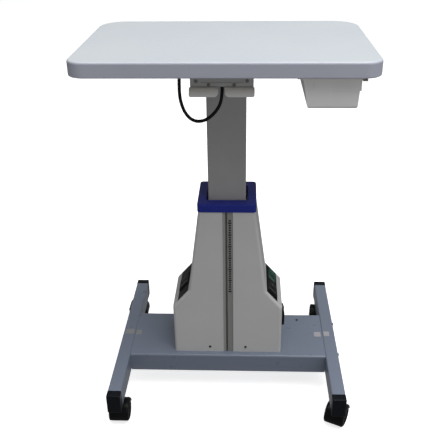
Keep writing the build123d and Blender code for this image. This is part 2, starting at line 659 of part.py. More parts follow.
with BuildPart() as hollow:
    with BuildSketch(facing_front(100)):
        with BuildLine():
            Polyline(*housing_outline, close=True)
        make_face()
        offset(amount=-HOUSING_WALL, kind=Kind.INTERSECTION)
        with Locations((0, CHANNEL_TOP)):
            Rectangle(2 * (HOUSING_LOW_HALF - HOUSING_WALL), 20)
    extrude(amount=200)
    with BuildSketch(facing_right(-HOUSING_LOW_HALF)):
        with BuildLine():
            Polyline(*side_profile, close=True)
        make_face()
        offset(amount=-HOUSING_WALL, kind=Kind.INTERSECTION)
        with Locations((0, CHANNEL_TOP)):
            Rectangle(2 * (HOUSING_BACK_LOW - HOUSING_WALL) - 0.4, 20)
    extrude(amount=2 * HOUSING_LOW_HALF, mode=Mode.INTERSECT)

with BuildPart() as housing_shell:
    with BuildSketch(facing_front(100)):
        with BuildLine():
            Polyline(*housing_outline, close=True)
        make_face()
        knees = vertices().filter_by(lambda v: CHANNEL_TOP + 1 < v.Z < HOUSING_TOP - 1)
        fillet(knees, radius=9)
    extrude(amount=200)
    with BuildSketch(facing_right(-HOUSING_LOW_HALF)):
        with BuildLine():
            Polyline(*side_profile, close=True)
        make_face()
    extrude(amount=2 * HOUSING_LOW_HALF, mode=Mode.INTERSECT)
    leaning_faces = housing_shell.faces().filter_by(lambda f: abs(f.normal_at().Y) > 0.9)
    fillet(leaning_faces.edges().filter_by(lambda e: abs(e.center().X) > 20), radius=7)
    add(hollow.part, mode=Mode.SUBTRACT)
    # passage for the column through the top wall
    with BuildSketch(Plane.XY.offset(HOUSING_TOP)):
        with Locations((0, MAST_Y)):
            RectangleRounded(103, 88, 6)
    extrude(amount=-2 * HOUSING_WALL, mode=Mode.SUBTRACT)
    # shallow band down the middle of the front, where the halves meet
    with BuildSketch(housing_front_plane((CHANNEL_TOP + HOUSING_TOP) / 2)):
        with Locations(((SEAM_GROOVE_LEFT + SEAM_GROOVE_RIGHT) / 2, 0)):
            Rectangle(SEAM_GROOVE_RIGHT - SEAM_GROOVE_LEFT, HOUSING_HEIGHT + 10)
    extrude(amount=-2, mode=Mode.SUBTRACT)
    for side in (-1, 1):
        with BuildSketch(shoulder_plane(side)):
            Rectangle(PANEL_LENGTH, PANEL_WIDTH)
        extrude(amount=-PANEL_RECESS, mode=Mode.SUBTRACT)
        with BuildSketch(shoulder_plane(side)):
            Rectangle(PANEL_LENGTH - 6, PANEL_WIDTH - 6)
        extrude(amount=-12, mode=Mode.SUBTRACT)
    with BuildSketch(facing_right(HOUSING_LOW_HALF)):
        with Locations((INLET_Y, INLET_Z)):
            Rectangle(INLET_WIDTH - 5, INLET_HEIGHT - 3)
    extrude(amount=-2 * HOUSING_WALL, mode=Mode.SUBTRACT)
    for screw_plane in HOUSING_SCREW_PLANES:
        with BuildSketch(screw_plane):
            with Locations((-HOUSING_SCREW_X, 0), (HOUSING_SCREW_X, 0)):
                Circle(2.1)
        extrude(amount=-12, mode=Mode.SUBTRACT)

for name, keep, offset_x in (("housing_left", Keep.BOTTOM, -SEAM_GAP / 2), ("housing_right", Keep.TOP, SEAM_GAP / 2)):
    with BuildPart() as half:
        add(housing_shell.part)
        split(bisect_by=Plane(origin=(SEAM_X + offset_x, 0, 0), x_dir=(0, 1, 0), z_dir=(1, 0, 0)), keep=keep)
    write(half.part, name)

with BuildPart() as pan_screws:
    for screw_plane in HOUSING_SCREW_PLANES:
        with BuildSketch(screw_plane):
            with Locations((-HOUSING_SCREW_X, 0), (HOUSING_SCREW_X, 0)):
                Circle(2)
        extrude(amount=-9)
        with BuildSketch(screw_plane):
            with Locations((-HOUSING_SCREW_X, 0), (HOUSING_SCREW_X, 0)):
                Circle(PAN_HEAD)
        extrude(amount=1.8)
    # earth screw on the base plate
    with BuildSketch(Plane.XY.offset(CHANNEL_TOP - SHEET)):
        with Locations(EARTH_SCREW):
            Circle(2)
    extrude(amount=SHEET)
    with BuildSketch(Plane.XY.offset(CHANNEL_TOP)):
        with Locations(EARTH_SCREW):
            Circle(PAN_HEAD)
    extrude(amount=1.8)
write(pan_screws.part, "pan_screws")

# ================================================================ switch panels and rockers
ROCKER_LENGTH = 42
ROCKER_WIDTH = 27
BEZEL_LENGTH = 53
BEZEL_WIDTH = 36
BEZEL_HEIGHT = 2.5
CAVITY_LENGTH = 45
CAVITY_WIDTH = 28
SWITCH_DEPTH = 18
PIVOT_DEPTH = -3
PIVOT_RADIUS = 1.6
POWER_TILT = 7

# switch: side of the housing, place along the panel, tilt of the cap as it stands
SWITCHES = {
    "left_switch": (-1, -1, 0),
    "right_switch": (1, -29, 0),
    "power_switch": (1, 27, POWER_TILT),
}
PANEL_SWITCHES = {-1: [-1], 1: [-29, 27]}
ROCKER_NAMES = {
    "left_switch": "left_lift_rocker",
    "right_switch": "right_lift_rocker",
    "power_switch": "power_rocker",
}

for side, name in ((-1, "left_switch_panel"), (1, "right_switch_panel")):
    with BuildPart() as panel:
        with BuildSketch(shoulder_plane(side).offset(-PANEL_RECESS)):
            Rectangle(PANEL_LENGTH - 0.4, PANEL_WIDTH - 0.4)
            with Locations(*[(along, 0) for along in PANEL_SWITCHES[side]]):
                Rectangle(BEZEL_LENGTH - 5, BEZEL_WIDTH - 5, mode=Mode.SUBTRACT)
        extrude(amount=PANEL_RECESS + 0.5)
    write(panel.part, name)

for name, (side, along, tilt) in SWITCHES.items():
    plane = shoulder_plane(side)
    with BuildPart() as switch_body:
        with BuildSketch(plane.offset(0.5)):
            with Locations((along, 0)):
                RectangleRounded(BEZEL_LENGTH, BEZEL_WIDTH, 2)
        extrude(amount=BEZEL_HEIGHT)
        chamfer(switch_body.edges().group_by(SortBy.LENGTH)[-1], length=0.6)
        with BuildSketch(plane.offset(0.5)):
            with Locations((along, 0)):
                Rectangle(BEZEL_LENGTH - 5.4, BEZEL_WIDTH - 5.4)
        extrude(amount=-SWITCH_DEPTH)
        with BuildSketch(plane.offset(0.5 + BEZEL_HEIGHT)):
            with Locations((along, 0)):
                Rectangle(CAVITY_LENGTH, CAVITY_WIDTH)
        extrude(amount=-13, mode=Mode.SUBTRACT)
        # bores for the pivot stubs of the rocker
        pivot_plane = Plane(
            origin=plane.from_local_coords((along, 0, PIVOT_DEPTH)), x_dir=plane.x_dir, z_dir=-plane.y_dir
        )
        with BuildSketch(pivot_plane):
            Circle(PIVOT_RADIUS + RUNNING_FIT)
        extrude(amount=ROCKER_WIDTH / 2 + 1.4, both=True, mode=Mode.SUBTRACT)
    write(switch_body.part, f"{name}_body")
    with BuildPart() as rocker:
        with BuildSketch(pivot_plane):
            with BuildLine():
                # seen along the pivot; +x towards the back of the table or its front
                Polyline(
                    (-21, 8), (-13, 6.6), (0, 5.8), (13, 6.6), (21, 8), (21, 3.5), (7, -3), (-7, -3), (-21, 3.5),
                    close=True,
                )
            make_face()
        extrude(amount=ROCKER_WIDTH / 2, both=True)
        with BuildSketch(pivot_plane):
            Circle(PIVOT_RADIUS)
        extrude(amount=ROCKER_WIDTH / 2 + 1.2, both=True)
    write(rocker.part.rotate(Axis(pivot_plane.origin, pivot_plane.z_dir), tilt), ROCKER_NAMES[name])
    print(name, "pivot", pivot_plane.origin, "axis", pivot_plane.z_dir)

# ================================================================ mains inlet
INLET_OUT = 146
SOCKET_WIDTH = 16.5
SOCKET_LENGTH = 23
SOCKET_Z = INLET_Z - 10.3
SOCKET_DEPTH = 17
FUSE_Z = INLET_Z + 14.5

with BuildPart() as power_inlet:
    with BuildSketch(facing_front(INLET_Y + INLET_WIDTH / 2)):
        with BuildLine():
            Polyline(
                (HOUSING_LOW_HALF, INLET_Z - INLET_HEIGHT / 2),
                (INLET_OUT, INLET_Z - INLET_HEIGHT / 2 + 2),
                (INLET_OUT, INLET_Z + 12),
                (INLET_OUT - 4, INLET_Z + INLET_HEIGHT / 2),
                (HOUSING_LOW_HALF, INLET_Z + INLET_HEIGHT / 2),
                close=True,
            )
        make_face()
    extrude(amount=INLET_WIDTH)
    with BuildSketch(facing_right(HOUSING_LOW_HALF)):
        with Locations((INLET_Y, INLET_Z)):
            Rectangle(INLET_WIDTH - 5.4, INLET_HEIGHT - 3.4)
    extrude(amount=-22)
    with BuildSketch(facing_right(INLET_OUT)):
        with Locations((INLET_Y, SOCKET_Z)):
            Rectangle(SOCKET_WIDTH, SOCKET_LENGTH)
        chamfer(vertices().group_by(Axis.Y)[-1], length=4)
    extrude(amount=-SOCKET_DEPTH, mode=Mode.SUBTRACT)
    with BuildSketch(facing_right(INLET_OUT)):
        with Locations((INLET_Y, FUSE_Z)):
            Rectangle(22, 11)
    extrude(amount=-20, mode=Mode.SUBTRACT)
write(power_inlet.part, "power_inlet")

with BuildPart() as fuse_drawer:
    with BuildSketch(facing_right(INLET_OUT - 19.6)):
        with Locations((INLET_Y, FUSE_Z)):
            Rectangle(21.3, 10.3)
    extrude(amount=18.4)
write(fuse_drawer.part, "fuse_drawer")

with BuildPart() as inlet_pins:
    with BuildSketch(facing_right(INLET_OUT - SOCKET_DEPTH)):
        with Locations((INLET_Y + 2, SOCKET_Z), (INLET_Y - 2, SOCKET_Z - 7), (INLET_Y - 2, SOCKET_Z + 7)):
            Rectangle(4, 2)
    extrude(amount=12)
write(inlet_pins.part, "inlet_pins")

# ================================================================ base
BEAM_BOLTS = [(CHANNEL_Y + y, 95) for y in (-63, 63)]
BOLT_RADIUS = 4
WELD_NUT = 6
TAB_HEIGHT = 26
TAB_FRONT = HOUSING_FRONT_LOW + TAB_HEIGHT * HOUSING_LEAN_FRONT + HOUSING_WALL + 0.2
TAB_BACK = HOUSING_BACK_LOW + TAB_HEIGHT * HOUSING_LEAN_BACK - HOUSING_WALL - 0.2

with BuildPart() as base_channel:
    with BuildSketch(facing_right(-CHANNEL_HALF)):
        with Locations((CHANNEL_Y, CHANNEL_TOP)):
            Rectangle(CHANNEL_DEPTH, CHANNEL_FLANGE, align=(Align.CENTER, Align.MAX))
        fillet(vertices().group_by(Axis.Z)[-1], radius=5)
    extrude(amount=2 * CHANNEL_HALF)
    with BuildSketch(facing_right(-CHANNEL_HALF + SHEET)):
        with Locations((CHANNEL_Y, CHANNEL_TOP - SHEET)):
            Rectangle(CHANNEL_DEPTH - 2 * SHEET, CHANNEL_FLANGE, align=(Align.CENTER, Align.MAX))
        fillet(vertices().group_by(Axis.Z)[-1], radius=2)
    extrude(amount=2 * (CHANNEL_HALF - SHEET), mode=Mode.SUBTRACT)
    # upright tabs that the housing is screwed to
    for tab_y in (TAB_FRONT + SHEET / 2, TAB_BACK - SHEET / 2):
        with BuildSketch(Plane.XY.offset(CHANNEL_TOP)):
            with Locations((-HOUSING_SCREW_X, tab_y), (HOUSING_SCREW_X, tab_y)):
                Rectangle(20, SHEET)
        extrude(amount=TAB_HEIGHT)
    for screw_plane in HOUSING_SCREW_PLANES:
        with BuildSketch(screw_plane):
            with Locations((-HOUSING_SCREW_X, 0), (HOUSING_SCREW_X, 0)):
                Circle(2.05)
        extrude(amount=-12, mode=Mode.SUBTRACT)
    with BuildSketch(Plane.XY.offset(CHANNEL_TOP)):
        with Locations(EARTH_SCREW):
            Circle(2.05)
    extrude(amount=-SHEET, mode=Mode.SUBTRACT)
    # weld nuts for the bolts of the column's foot
    with BuildSketch(Plane.XY.offset(CHANNEL_TOP - SHEET)):
        with Locations(*FOOT_BOLTS):
            RegularPolygon(7.5, 6)
    extrude(amount=-WELD_NUT)
    with BuildSketch(Plane.XY.offset(CHANNEL_TOP)):
        with Locations(*FOOT_BOLTS):
            Circle(BOLT_RADIUS + RUNNING_FIT)
    extrude(amount=-SHEET - WELD_NUT, mode=Mode.SUBTRACT)
    for side in (-1, 1):
        with BuildSketch(facing_right(side * CHANNEL_HALF)):
            with Locations(*BEAM_BOLTS):
                Circle(BOLT_RADIUS + 0.2)
        extrude(amount=-side * SHEET, mode=Mode.SUBTRACT)
write(base_channel.part, "base_channel")

STEM_SPOTS = {
    "front_left": (-CASTER_STEM_X, -CASTER_STEM_Y),
    "front_right": (CASTER_STEM_X, -CASTER_STEM_Y),
    "back_left": (-CASTER_STEM_X, CASTER_STEM_Y),
    "back_right": (CASTER_STEM_X, CASTER_STEM_Y),
}
TUBE_WALL = 2
STEM_THREAD = 5

for side, name in ((-1, "left_beam"), (1, "right_beam")):
    with BuildPart() as beam:
        with BuildSketch(facing_front(BEAM_LENGTH / 2)):
            with Locations((side * BEAM_X, BEAM_BOTTOM + BEAM_HEIGHT / 2)):
                RectangleRounded(BEAM_WIDTH, BEAM_HEIGHT, 3)
                RectangleRounded(BEAM_WIDTH - 2 * TUBE_WALL, BEAM_HEIGHT - 2 * TUBE_WALL, 1, mode=Mode.SUBTRACT)
        extrude(amount=BEAM_LENGTH)
        # weld nuts inside the inner wall, for bolts put in from the channel
        with BuildSketch(facing_right(side * (CHANNEL_HALF + TUBE_WALL))):
            with Locations(*BEAM_BOLTS):
                RegularPolygon(7.5, 6)
        extrude(amount=side * WELD_NUT)
        with BuildSketch(facing_right(side * CHANNEL_HALF)):
            with Locations(*BEAM_BOLTS):
                Circle(BOLT_RADIUS + RUNNING_FIT)
        extrude(amount=side * (TUBE_WALL + WELD_NUT), mode=Mode.SUBTRACT)
        with BuildSketch(Plane.XY.offset(BEAM_BOTTOM)):
            with Locations((side * CASTER_STEM_X, -CASTER_STEM_Y), (side * CASTER_STEM_X, CASTER_STEM_Y)):
                Circle(STEM_THREAD + RUNNING_FIT)
        extrude(amount=TUBE_WALL, mode=Mode.SUBTRACT)
    write(beam.part, name)

with BuildPart() as beam_end_caps:
    for side in (-1, 1):
        for end in (-1, 1):
            with BuildSketch(facing_front(end * BEAM_LENGTH / 2)):
                with Locations((side * BEAM_X, BEAM_BOTTOM + BEAM_HEIGHT / 2)):
                    RectangleRounded(BEAM_WIDTH + 1, BEAM_HEIGHT + 1, 3)
            extrude(amount=-end * CAP_LENGTH)
    outer_faces = beam_end_caps.faces().filter_by(Axis.Y).filter_by(
        lambda f: abs(abs(f.center().Y) - BEAM_LENGTH / 2 - CAP_LENGTH) < 0.01
    )
    fillet(outer_faces.edges(), radius=2.5)
    for side in (-1, 1):
        for end in (-1, 1):
            with BuildSketch(facing_front(end * BEAM_LENGTH / 2)):
                with Locations((side * BEAM_X, BEAM_BOTTOM + BEAM_HEIGHT / 2)):
                        RectangleRounded(BEAM_WIDTH - 2 * TUBE_WALL - 0.4, BEAM_HEIGHT - 2 * TUBE_WALL - 0.4, 1)
            extrude(amount=end * 5)
write(beam_end_caps.part, "beam_end_caps")

with BuildPart() as frame_bolts:
    for side in (-1, 1):
        with BuildSketch(facing_right(side * (CHANNEL_HALF - SHEET))):
            with Locations(*BEAM_BOLTS):
                RegularPolygon(7.5, 6)
        extrude(amount=-side * 5.3)
        with BuildSketch(facing_right(side * (CHANNEL_HALF - SHEET))):
            with Locations(*BEAM_BOLTS):
                Circle(BOLT_RADIUS)
        extrude(amount=side * (SHEET + TUBE_WALL + WELD_NUT + 4))
    with BuildSketch(Plane.XY.offset(CHANNEL_TOP + OUTER_FOOT)):
        with Locations(*FOOT_BOLTS):
            RegularPolygon(7.5, 6)
    extrude(amount=5.3)
    with BuildSketch(Plane.XY.offset(CHANNEL_TOP + OUTER_FOOT)):
        with Locations(*FOOT_BOLTS):
            Circle(BOLT_RADIUS)
    extrude(amount=-OUTER_FOOT - SHEET - WELD_NUT)
write(frame_bolts.part, "frame_bolts")

# ================================================================ casters
HOOD_OUTER = 29.5
HOOD_INNER = 28
HOOD_RIM = 22               # radius of the round openings at the sides of the cover
HOOD_HALF_WIDTH = 24.5
HOOD_WALL = 1.5
HOOD_ROUNDING = 5
WEB_HALF = 5.5
WHEEL_INSIDE = 6
WHEEL_OUTSIDE = 22.5
AXLE_RADIUS = 4
PIN_RADIUS = 3.5
BOSS_TOP = 60
STEM_FLANGE_BOTTOM = BOSS_TOP + PAD_CLEARANCE
HOOD_FROM = 25              # degrees above the trailing side
HOOD_SWEEP = 178

with BuildPart() as caster_stems:
    for spot in STEM_SPOTS.values():
        with BuildSketch(Plane.XY.offset(STEM_FLANGE_BOTTOM)):
            with Locations(spot):
                Circle(9)
        extrude(amount=BEAM_BOTTOM - STEM_FLANGE_BOTTOM)
        with BuildSketch(Plane.XY.offset(BEAM_BOTTOM)):
            with Locations(spot):
                Circle(STEM_THREAD)
        extrude(amount=24)
        with BuildSketch(Plane.XY.offset(STEM_FLANGE_BOTTOM)):
            with Locations(spot):
                Circle(PIN_RADIUS)
        extrude(amount=-22)
write(caster_stems.part, "caster_stems")


hood_opening = [(0, 0)] + [
    (90 * cos(radians(turn)), 90 * sin(radians(turn)))
    for turn in (HOOD_FROM, HOOD_FROM - 60, HOOD_FROM - 120, HOOD_FROM + HOOD_SWEEP - 360)
]

for caster, trail_angle in CASTER_TRAILS.items():
    stem_x, stem_y = STEM_SPOTS[caster]
    trail = (cos(radians(trail_angle)), sin(radians(trail_angle)), 0)
    across = (trail[1], -trail[0], 0)
    # sketch x trails away from the stem, sketch y is up, z runs along the axle
    wheel_plane = Plane(
        origin=(stem_x + CASTER_TRAIL * trail[0], stem_y + CASTER_TRAIL * trail[1], WHEEL_RADIUS),
        x_dir=trail,
        z_dir=across,
    )
    with BuildPart() as cover:
        with BuildSketch(wheel_plane):
            Circle(HOOD_OUTER)
        extrude(amount=HOOD_HALF_WIDTH, both=True)
        fillet(cover.edges().filter_by(GeomType.CIRCLE), radius=HOOD_ROUNDING)
    with BuildPart() as cavity:
        with BuildSketch(wheel_plane):
            Circle(HOOD_INNER)
        extrude(amount=HOOD_HALF_WIDTH - HOOD_WALL, both=True)
        fillet(cavity.edges().filter_by(GeomType.CIRCLE), radius=HOOD_ROUNDING - HOOD_WALL)
    with BuildPart() as hood:
        with BuildSketch(Plane.XY.offset(BOSS_TOP)):
            with Locations((stem_x, stem_y)):
                Circle(10)
        extrude(amount=-16)
        # cover over the wheels, from the trailing side over the top to the stem side
        add(cover.part)
        add(cavity.part, mode=Mode.SUBTRACT)
        with BuildSketch(wheel_plane):
            Circle(HOOD_RIM)
        extrude(amount=40, both=True, mode=Mode.SUBTRACT)
        with BuildSketch(wheel_plane):
            Polygon(*hood_opening, align=None)
        extrude(amount=40, both=True, mode=Mode.SUBTRACT)
        with BuildSketch(wheel_plane):
            Circle(HOOD_INNER + 0.5)
            Polygon(*hood_opening, align=None, mode=Mode.SUBTRACT)
            Circle(12)
        extrude(amount=WEB_HALF, both=True)
        with BuildSketch(wheel_plane):
            Circle(AXLE_RADIUS)
        extrude(amount=20, both=True, mode=Mode.SUBTRACT)
        with BuildSketch(Plane.XY.offset(BOSS_TOP)):
            with Locations((stem_x, stem_y)):
                Circle(PIN_RADIUS + RUNNING_FIT)
        extrude(amount=-23, mode=Mode.SUBTRACT)
    write(hood.part, f"caster_hood_{caster}")
    with BuildPart() as axle:
        with BuildSketch(wheel_plane):
            Circle(AXLE_RADIUS)
        extrude(amount=WHEEL_OUTSIDE - 4, both=True)
    write(axle.part, f"caster_axle_{caster}")
    for wheel_side, hand in ((1, "a"), (-1, "b")):
        with BuildPart() as wheel:
            with BuildSketch(wheel_plane.offset(wheel_side * WHEEL_INSIDE)):
                Circle(WHEEL_RADIUS)
            extrude(amount=wheel_side * (WHEEL_OUTSIDE - WHEEL_INSIDE))
            rims = wheel.edges().filter_by(GeomType.CIRCLE)
            outer_rim = [e for e in rims if abs(wheel_plane.to_local_coords(e.center()).Z) > 20]
            inner_rim = [e for e in rims if abs(wheel_plane.to_local_coords(e.center()).Z) < 20]
            fillet(outer_rim, radius=5)
            fillet(inner_rim, radius=1.5)
            with BuildSketch(wheel_plane.offset(wheel_side * WHEEL_INSIDE)):
                Circle(AXLE_RADIUS + RUNNING_FIT)
            extrude(amount=wheel_side * (WHEEL_OUTSIDE - WHEEL_INSIDE - 3.5), mode=Mode.SUBTRACT)
            # shallow dish in the outer face
            with BuildSketch(wheel_plane.offset(wheel_side * WHEEL_OUTSIDE)):
                Circle(17)
                Circle(7, mode=Mode.SUBTRACT)
            extrude(amount=-wheel_side * 1.5, mode=Mode.SUBTRACT)
        write(wheel.part, f"caster_wheel_{caster}_{hand}")
    print(caster, "wheel centre", wheel_plane.origin, "axle", wheel_plane.z_dir)
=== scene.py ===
"""Looks for the motorised instrument table: materials, fine pieces, light and camera.

Every length is in metres, in the model's own frame: +X right, +Y back, +Z up, origin on the floor.
"""

import json
from math import atan2, cos, pi, radians, sin

import bmesh
import bpy
from mathutils import Matrix, Vector


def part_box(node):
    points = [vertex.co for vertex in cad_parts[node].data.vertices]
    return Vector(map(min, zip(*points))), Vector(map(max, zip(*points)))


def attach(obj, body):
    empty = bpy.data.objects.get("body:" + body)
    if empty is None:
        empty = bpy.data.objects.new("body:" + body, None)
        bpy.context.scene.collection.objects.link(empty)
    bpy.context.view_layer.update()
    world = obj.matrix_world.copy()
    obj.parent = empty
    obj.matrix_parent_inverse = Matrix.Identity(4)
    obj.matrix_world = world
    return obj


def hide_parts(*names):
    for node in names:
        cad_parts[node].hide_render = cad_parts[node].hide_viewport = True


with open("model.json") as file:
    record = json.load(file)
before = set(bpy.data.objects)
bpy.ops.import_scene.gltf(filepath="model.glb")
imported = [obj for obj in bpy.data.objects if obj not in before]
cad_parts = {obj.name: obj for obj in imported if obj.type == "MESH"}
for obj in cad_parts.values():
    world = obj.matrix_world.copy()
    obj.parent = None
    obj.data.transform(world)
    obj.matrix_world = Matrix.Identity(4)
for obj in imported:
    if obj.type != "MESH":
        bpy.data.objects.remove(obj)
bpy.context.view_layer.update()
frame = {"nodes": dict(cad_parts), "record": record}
nodes = frame["nodes"]

# ------------------------------------------------------------------ places shared with CAD
UNDERSIDE_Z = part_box("tabletop_cover")[0][2]
MAST_Y = -0.005
BRACKET_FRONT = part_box("table_bracket")[0][1]
BRACKET_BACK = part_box("table_bracket")[1][1]
PLATE_TOP = 0.110
# the housing's front and back lean inwards: Y at the base plate, then run in Y per metre of height
HOUSING_HEIGHT = 0.397
FRONT_LOW, FRONT_LEAN = -0.078, 0.0085 / HOUSING_HEIGHT
BACK_LOW, BACK_LEAN = 0.078, -0.0185 / HOUSING_HEIGHT
BEAM_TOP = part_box("left_beam")[1][2]
PLATE_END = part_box("base_channel")[1][0] - 0.003
CABLE_DIAMETER = 0.007


def on_front(x, z, depth):
    """Placement on the housing's leaning front, local z outwards, sunk by depth."""
    y = FRONT_LOW + (z - PLATE_TOP) * FRONT_LEAN + depth
    return placement((x, y, z), (0, -1, FRONT_LEAN))


# ------------------------------------------------------------------ material building
def new_material(name):
    material = bpy.data.materials.new(name)
    material.use_nodes = True
    tree = material.node_tree
    shader = tree.nodes["Principled BSDF"]
    coords = tree.nodes.new("ShaderNodeTexCoord")
    return material, tree, shader, coords.outputs["Object"]


def noise(tree, coords, scale, detail=4.0, roughness=0.55):
    node = tree.nodes.new("ShaderNodeTexNoise")
    node.inputs["Scale"].default_value = scale
    node.inputs["Detail"].default_value = detail
    node.inputs["Roughness"].default_value = roughness
    tree.links.new(coords, node.inputs["Vector"])
    return node.outputs["Fac"]


def remap(tree, value, low, high, to_low, to_high):
    node = tree.nodes.new("ShaderNodeMapRange")
    node.inputs["From Min"].default_value = low
    node.inputs["From Max"].default_value = high
    node.inputs["To Min"].default_value = to_low
    node.inputs["To Max"].default_value = to_high
    tree.links.new(value, node.inputs["Value"])
    return node.outputs["Result"]


def mix(tree, factor, first, second):
    """Colour between two, each an RGB tuple or a node's output; the factor is a node's output."""
    node = tree.nodes.new("ShaderNodeMix")
    node.data_type = "RGBA"
    sockets = [s for s in node.inputs if s.type == "RGBA"]
    for socket, value in zip(sockets, (first, second)):
        if isinstance(value, tuple):
            socket.default_value = (*value, 1.0)
        else:
            tree.links.new(value, socket)
    tree.links.new(factor, node.inputs["Factor"])
    return [s for s in node.outputs if s.type == "RGBA"][0]


def bump(tree, shader, height, strength, distance):
    node = tree.nodes.new("ShaderNodeBump")
    node.inputs["Strength"].default_value = strength
    node.inputs["Distance"].default_value = distance
    tree.links.new(height, node.inputs["Height"])
    tree.links.new(node.outputs["Normal"], shader.inputs["Normal"])


def shaded(colour, share):
    return tuple(channel * share for channel in colour)


def facing(tree):
    """The surface normal's vertical part, 1 where the surface faces up."""
    geometry = tree.nodes.new("ShaderNodeNewGeometry")
    split = tree.nodes.new("ShaderNodeSeparateXYZ")
    tree.links.new(geometry.outputs["Normal"], split.inputs["Vector"])
    return split.outputs["Z"]


def times(tree, first, second):
    node = tree.nodes.new("ShaderNodeMath")
    node.operation = "MULTIPLY"
    tree.links.new(first, node.inputs[0])
    tree.links.new(second, node.inputs[1])
    return node.outputs["Value"]


DUST_COLOUR = (0.55, 0.55, 0.53)


def surface(
    name,
    colour,
    rough=(0.4, 0.5),
    metallic=0.0,
    coat=0.0,
    grain=900.0,
    grain_depth=0.00004,
    mottle=0.06,
    dust=0.0,
    specular=0.5,
):
    """Moulded or painted surface: broad mottling, fine grain, uneven gloss and settled dust."""
    material, tree, shader, coords = new_material(name)
    broad = noise(tree, coords, 9.0, 3.0)
    fine = noise(tree, coords, grain, 2.0, 0.6)
    patches = remap(tree, broad, 0.3, 0.7, 0.0, 1.0)
    tone = mix(tree, patches, shaded(colour, 1 - mottle), shaded(colour, 1 + mottle))
    grained = remap(tree, fine, 0.35, 0.65, 0.0, 0.25)
    tone = mix(tree, grained, tone, shaded(colour, 1 - 2 * mottle))
    if dust:
        facing_up = remap(tree, facing(tree), 0.3, 1.0, 0.0, 1.0)
        specks = remap(tree, noise(tree, coords, 60.0, 6.0, 0.7), 0.45, 0.75, 0.2, 1.0)
        settled = remap(tree, times(tree, facing_up, specks), 0.0, 1.0, 0.0, dust)
        tone = mix(tree, settled, tone, DUST_COLOUR)
    tree.links.new(tone, shader.inputs["Base Color"])
    wear = noise(tree, coords, 35.0, 5.0, 0.65)
    tree.links.new(remap(tree, wear, 0.3, 0.7, rough[0], rough[1]), shader.inputs["Roughness"])
    shader.inputs["Metallic"].default_value = metallic
    shader.inputs["Coat Weight"].default_value = coat
    shader.inputs["Coat Roughness"].default_value = 0.25
    shader.inputs["Specular IOR Level"].default_value = specular
    bump(tree, shader, fine, 0.5, grain_depth)
    return material


def brushed(name, colour, along):
    """Machined or plated metal with fine lines along X or Z."""
    material, tree, shader, coords = new_material(name)
    stretch = tree.nodes.new("ShaderNodeMapping")
    scale = {"X": (8.0, 900.0, 900.0), "Z": (900.0, 900.0, 8.0)}[along]
    stretch.inputs["Scale"].default_value = scale
    tree.links.new(coords, stretch.inputs["Vector"])
    lines = noise(tree, stretch.outputs["Vector"], 1.0, 3.0)
    stains = noise(tree, coords, 45.0, 4.0)
    tone = mix(tree, remap(tree, lines, 0.3, 0.7, 0.0, 1.0), shaded(colour, 0.75), colour)
    tone = mix(tree, remap(tree, stains, 0.4, 0.7, 0.0, 0.3), tone, shaded(colour, 0.6))
    tree.links.new(tone, shader.inputs["Base Color"])
    tree.links.new(remap(tree, lines, 0.3, 0.7, 0.28, 0.42), shader.inputs["Roughness"])
    shader.inputs["Metallic"].default_value = 1.0
    bump(tree, shader, lines, 0.25, 0.00002)
    return material


def tabletop_material():
    """Wipe-clean skin: nearly white on top, greyer and bluer where it rolls over the edge; the
    bluer tint is the edge's own, the greying is painted shade on the faces that turn away from up.
    """
    material, tree, shader, coords = new_material("top_skin")
    cloud = noise(tree, coords, 3.5, 3.0)
    grain = noise(tree, coords, 1300.0, 2.0, 0.6)
    scuffs = noise(tree, coords, 70.0, 8.0, 0.75)
    clouded = remap(tree, cloud, 0.35, 0.65, 0.0, 1.0)
    top = mix(tree, clouded, (0.575, 0.615, 0.655), (0.60, 0.64, 0.665))
    top = mix(tree, remap(tree, scuffs, 0.62, 0.72, 0.0, 0.10), top, (0.45, 0.47, 0.50))
    # edge colour: its own bluer tint, darkened as painted shade; the next line lays it on the faces
    # that turn away from up
    edge = mix(tree, clouded, (0.445, 0.465, 0.54), (0.475, 0.495, 0.57))
    tone = mix(tree, remap(tree, facing(tree), 0.55, 0.93, 0.0, 1.0), edge, top)
    tone = mix(tree, remap(tree, grain, 0.35, 0.65, 0.0, 0.06), tone, (0.40, 0.42, 0.46))
    tree.links.new(tone, shader.inputs["Base Color"])
    tree.links.new(remap(tree, scuffs, 0.35, 0.7, 0.36, 0.48), shader.inputs["Roughness"])
    bump(tree, shader, grain, 0.35, 0.00004)
    return material


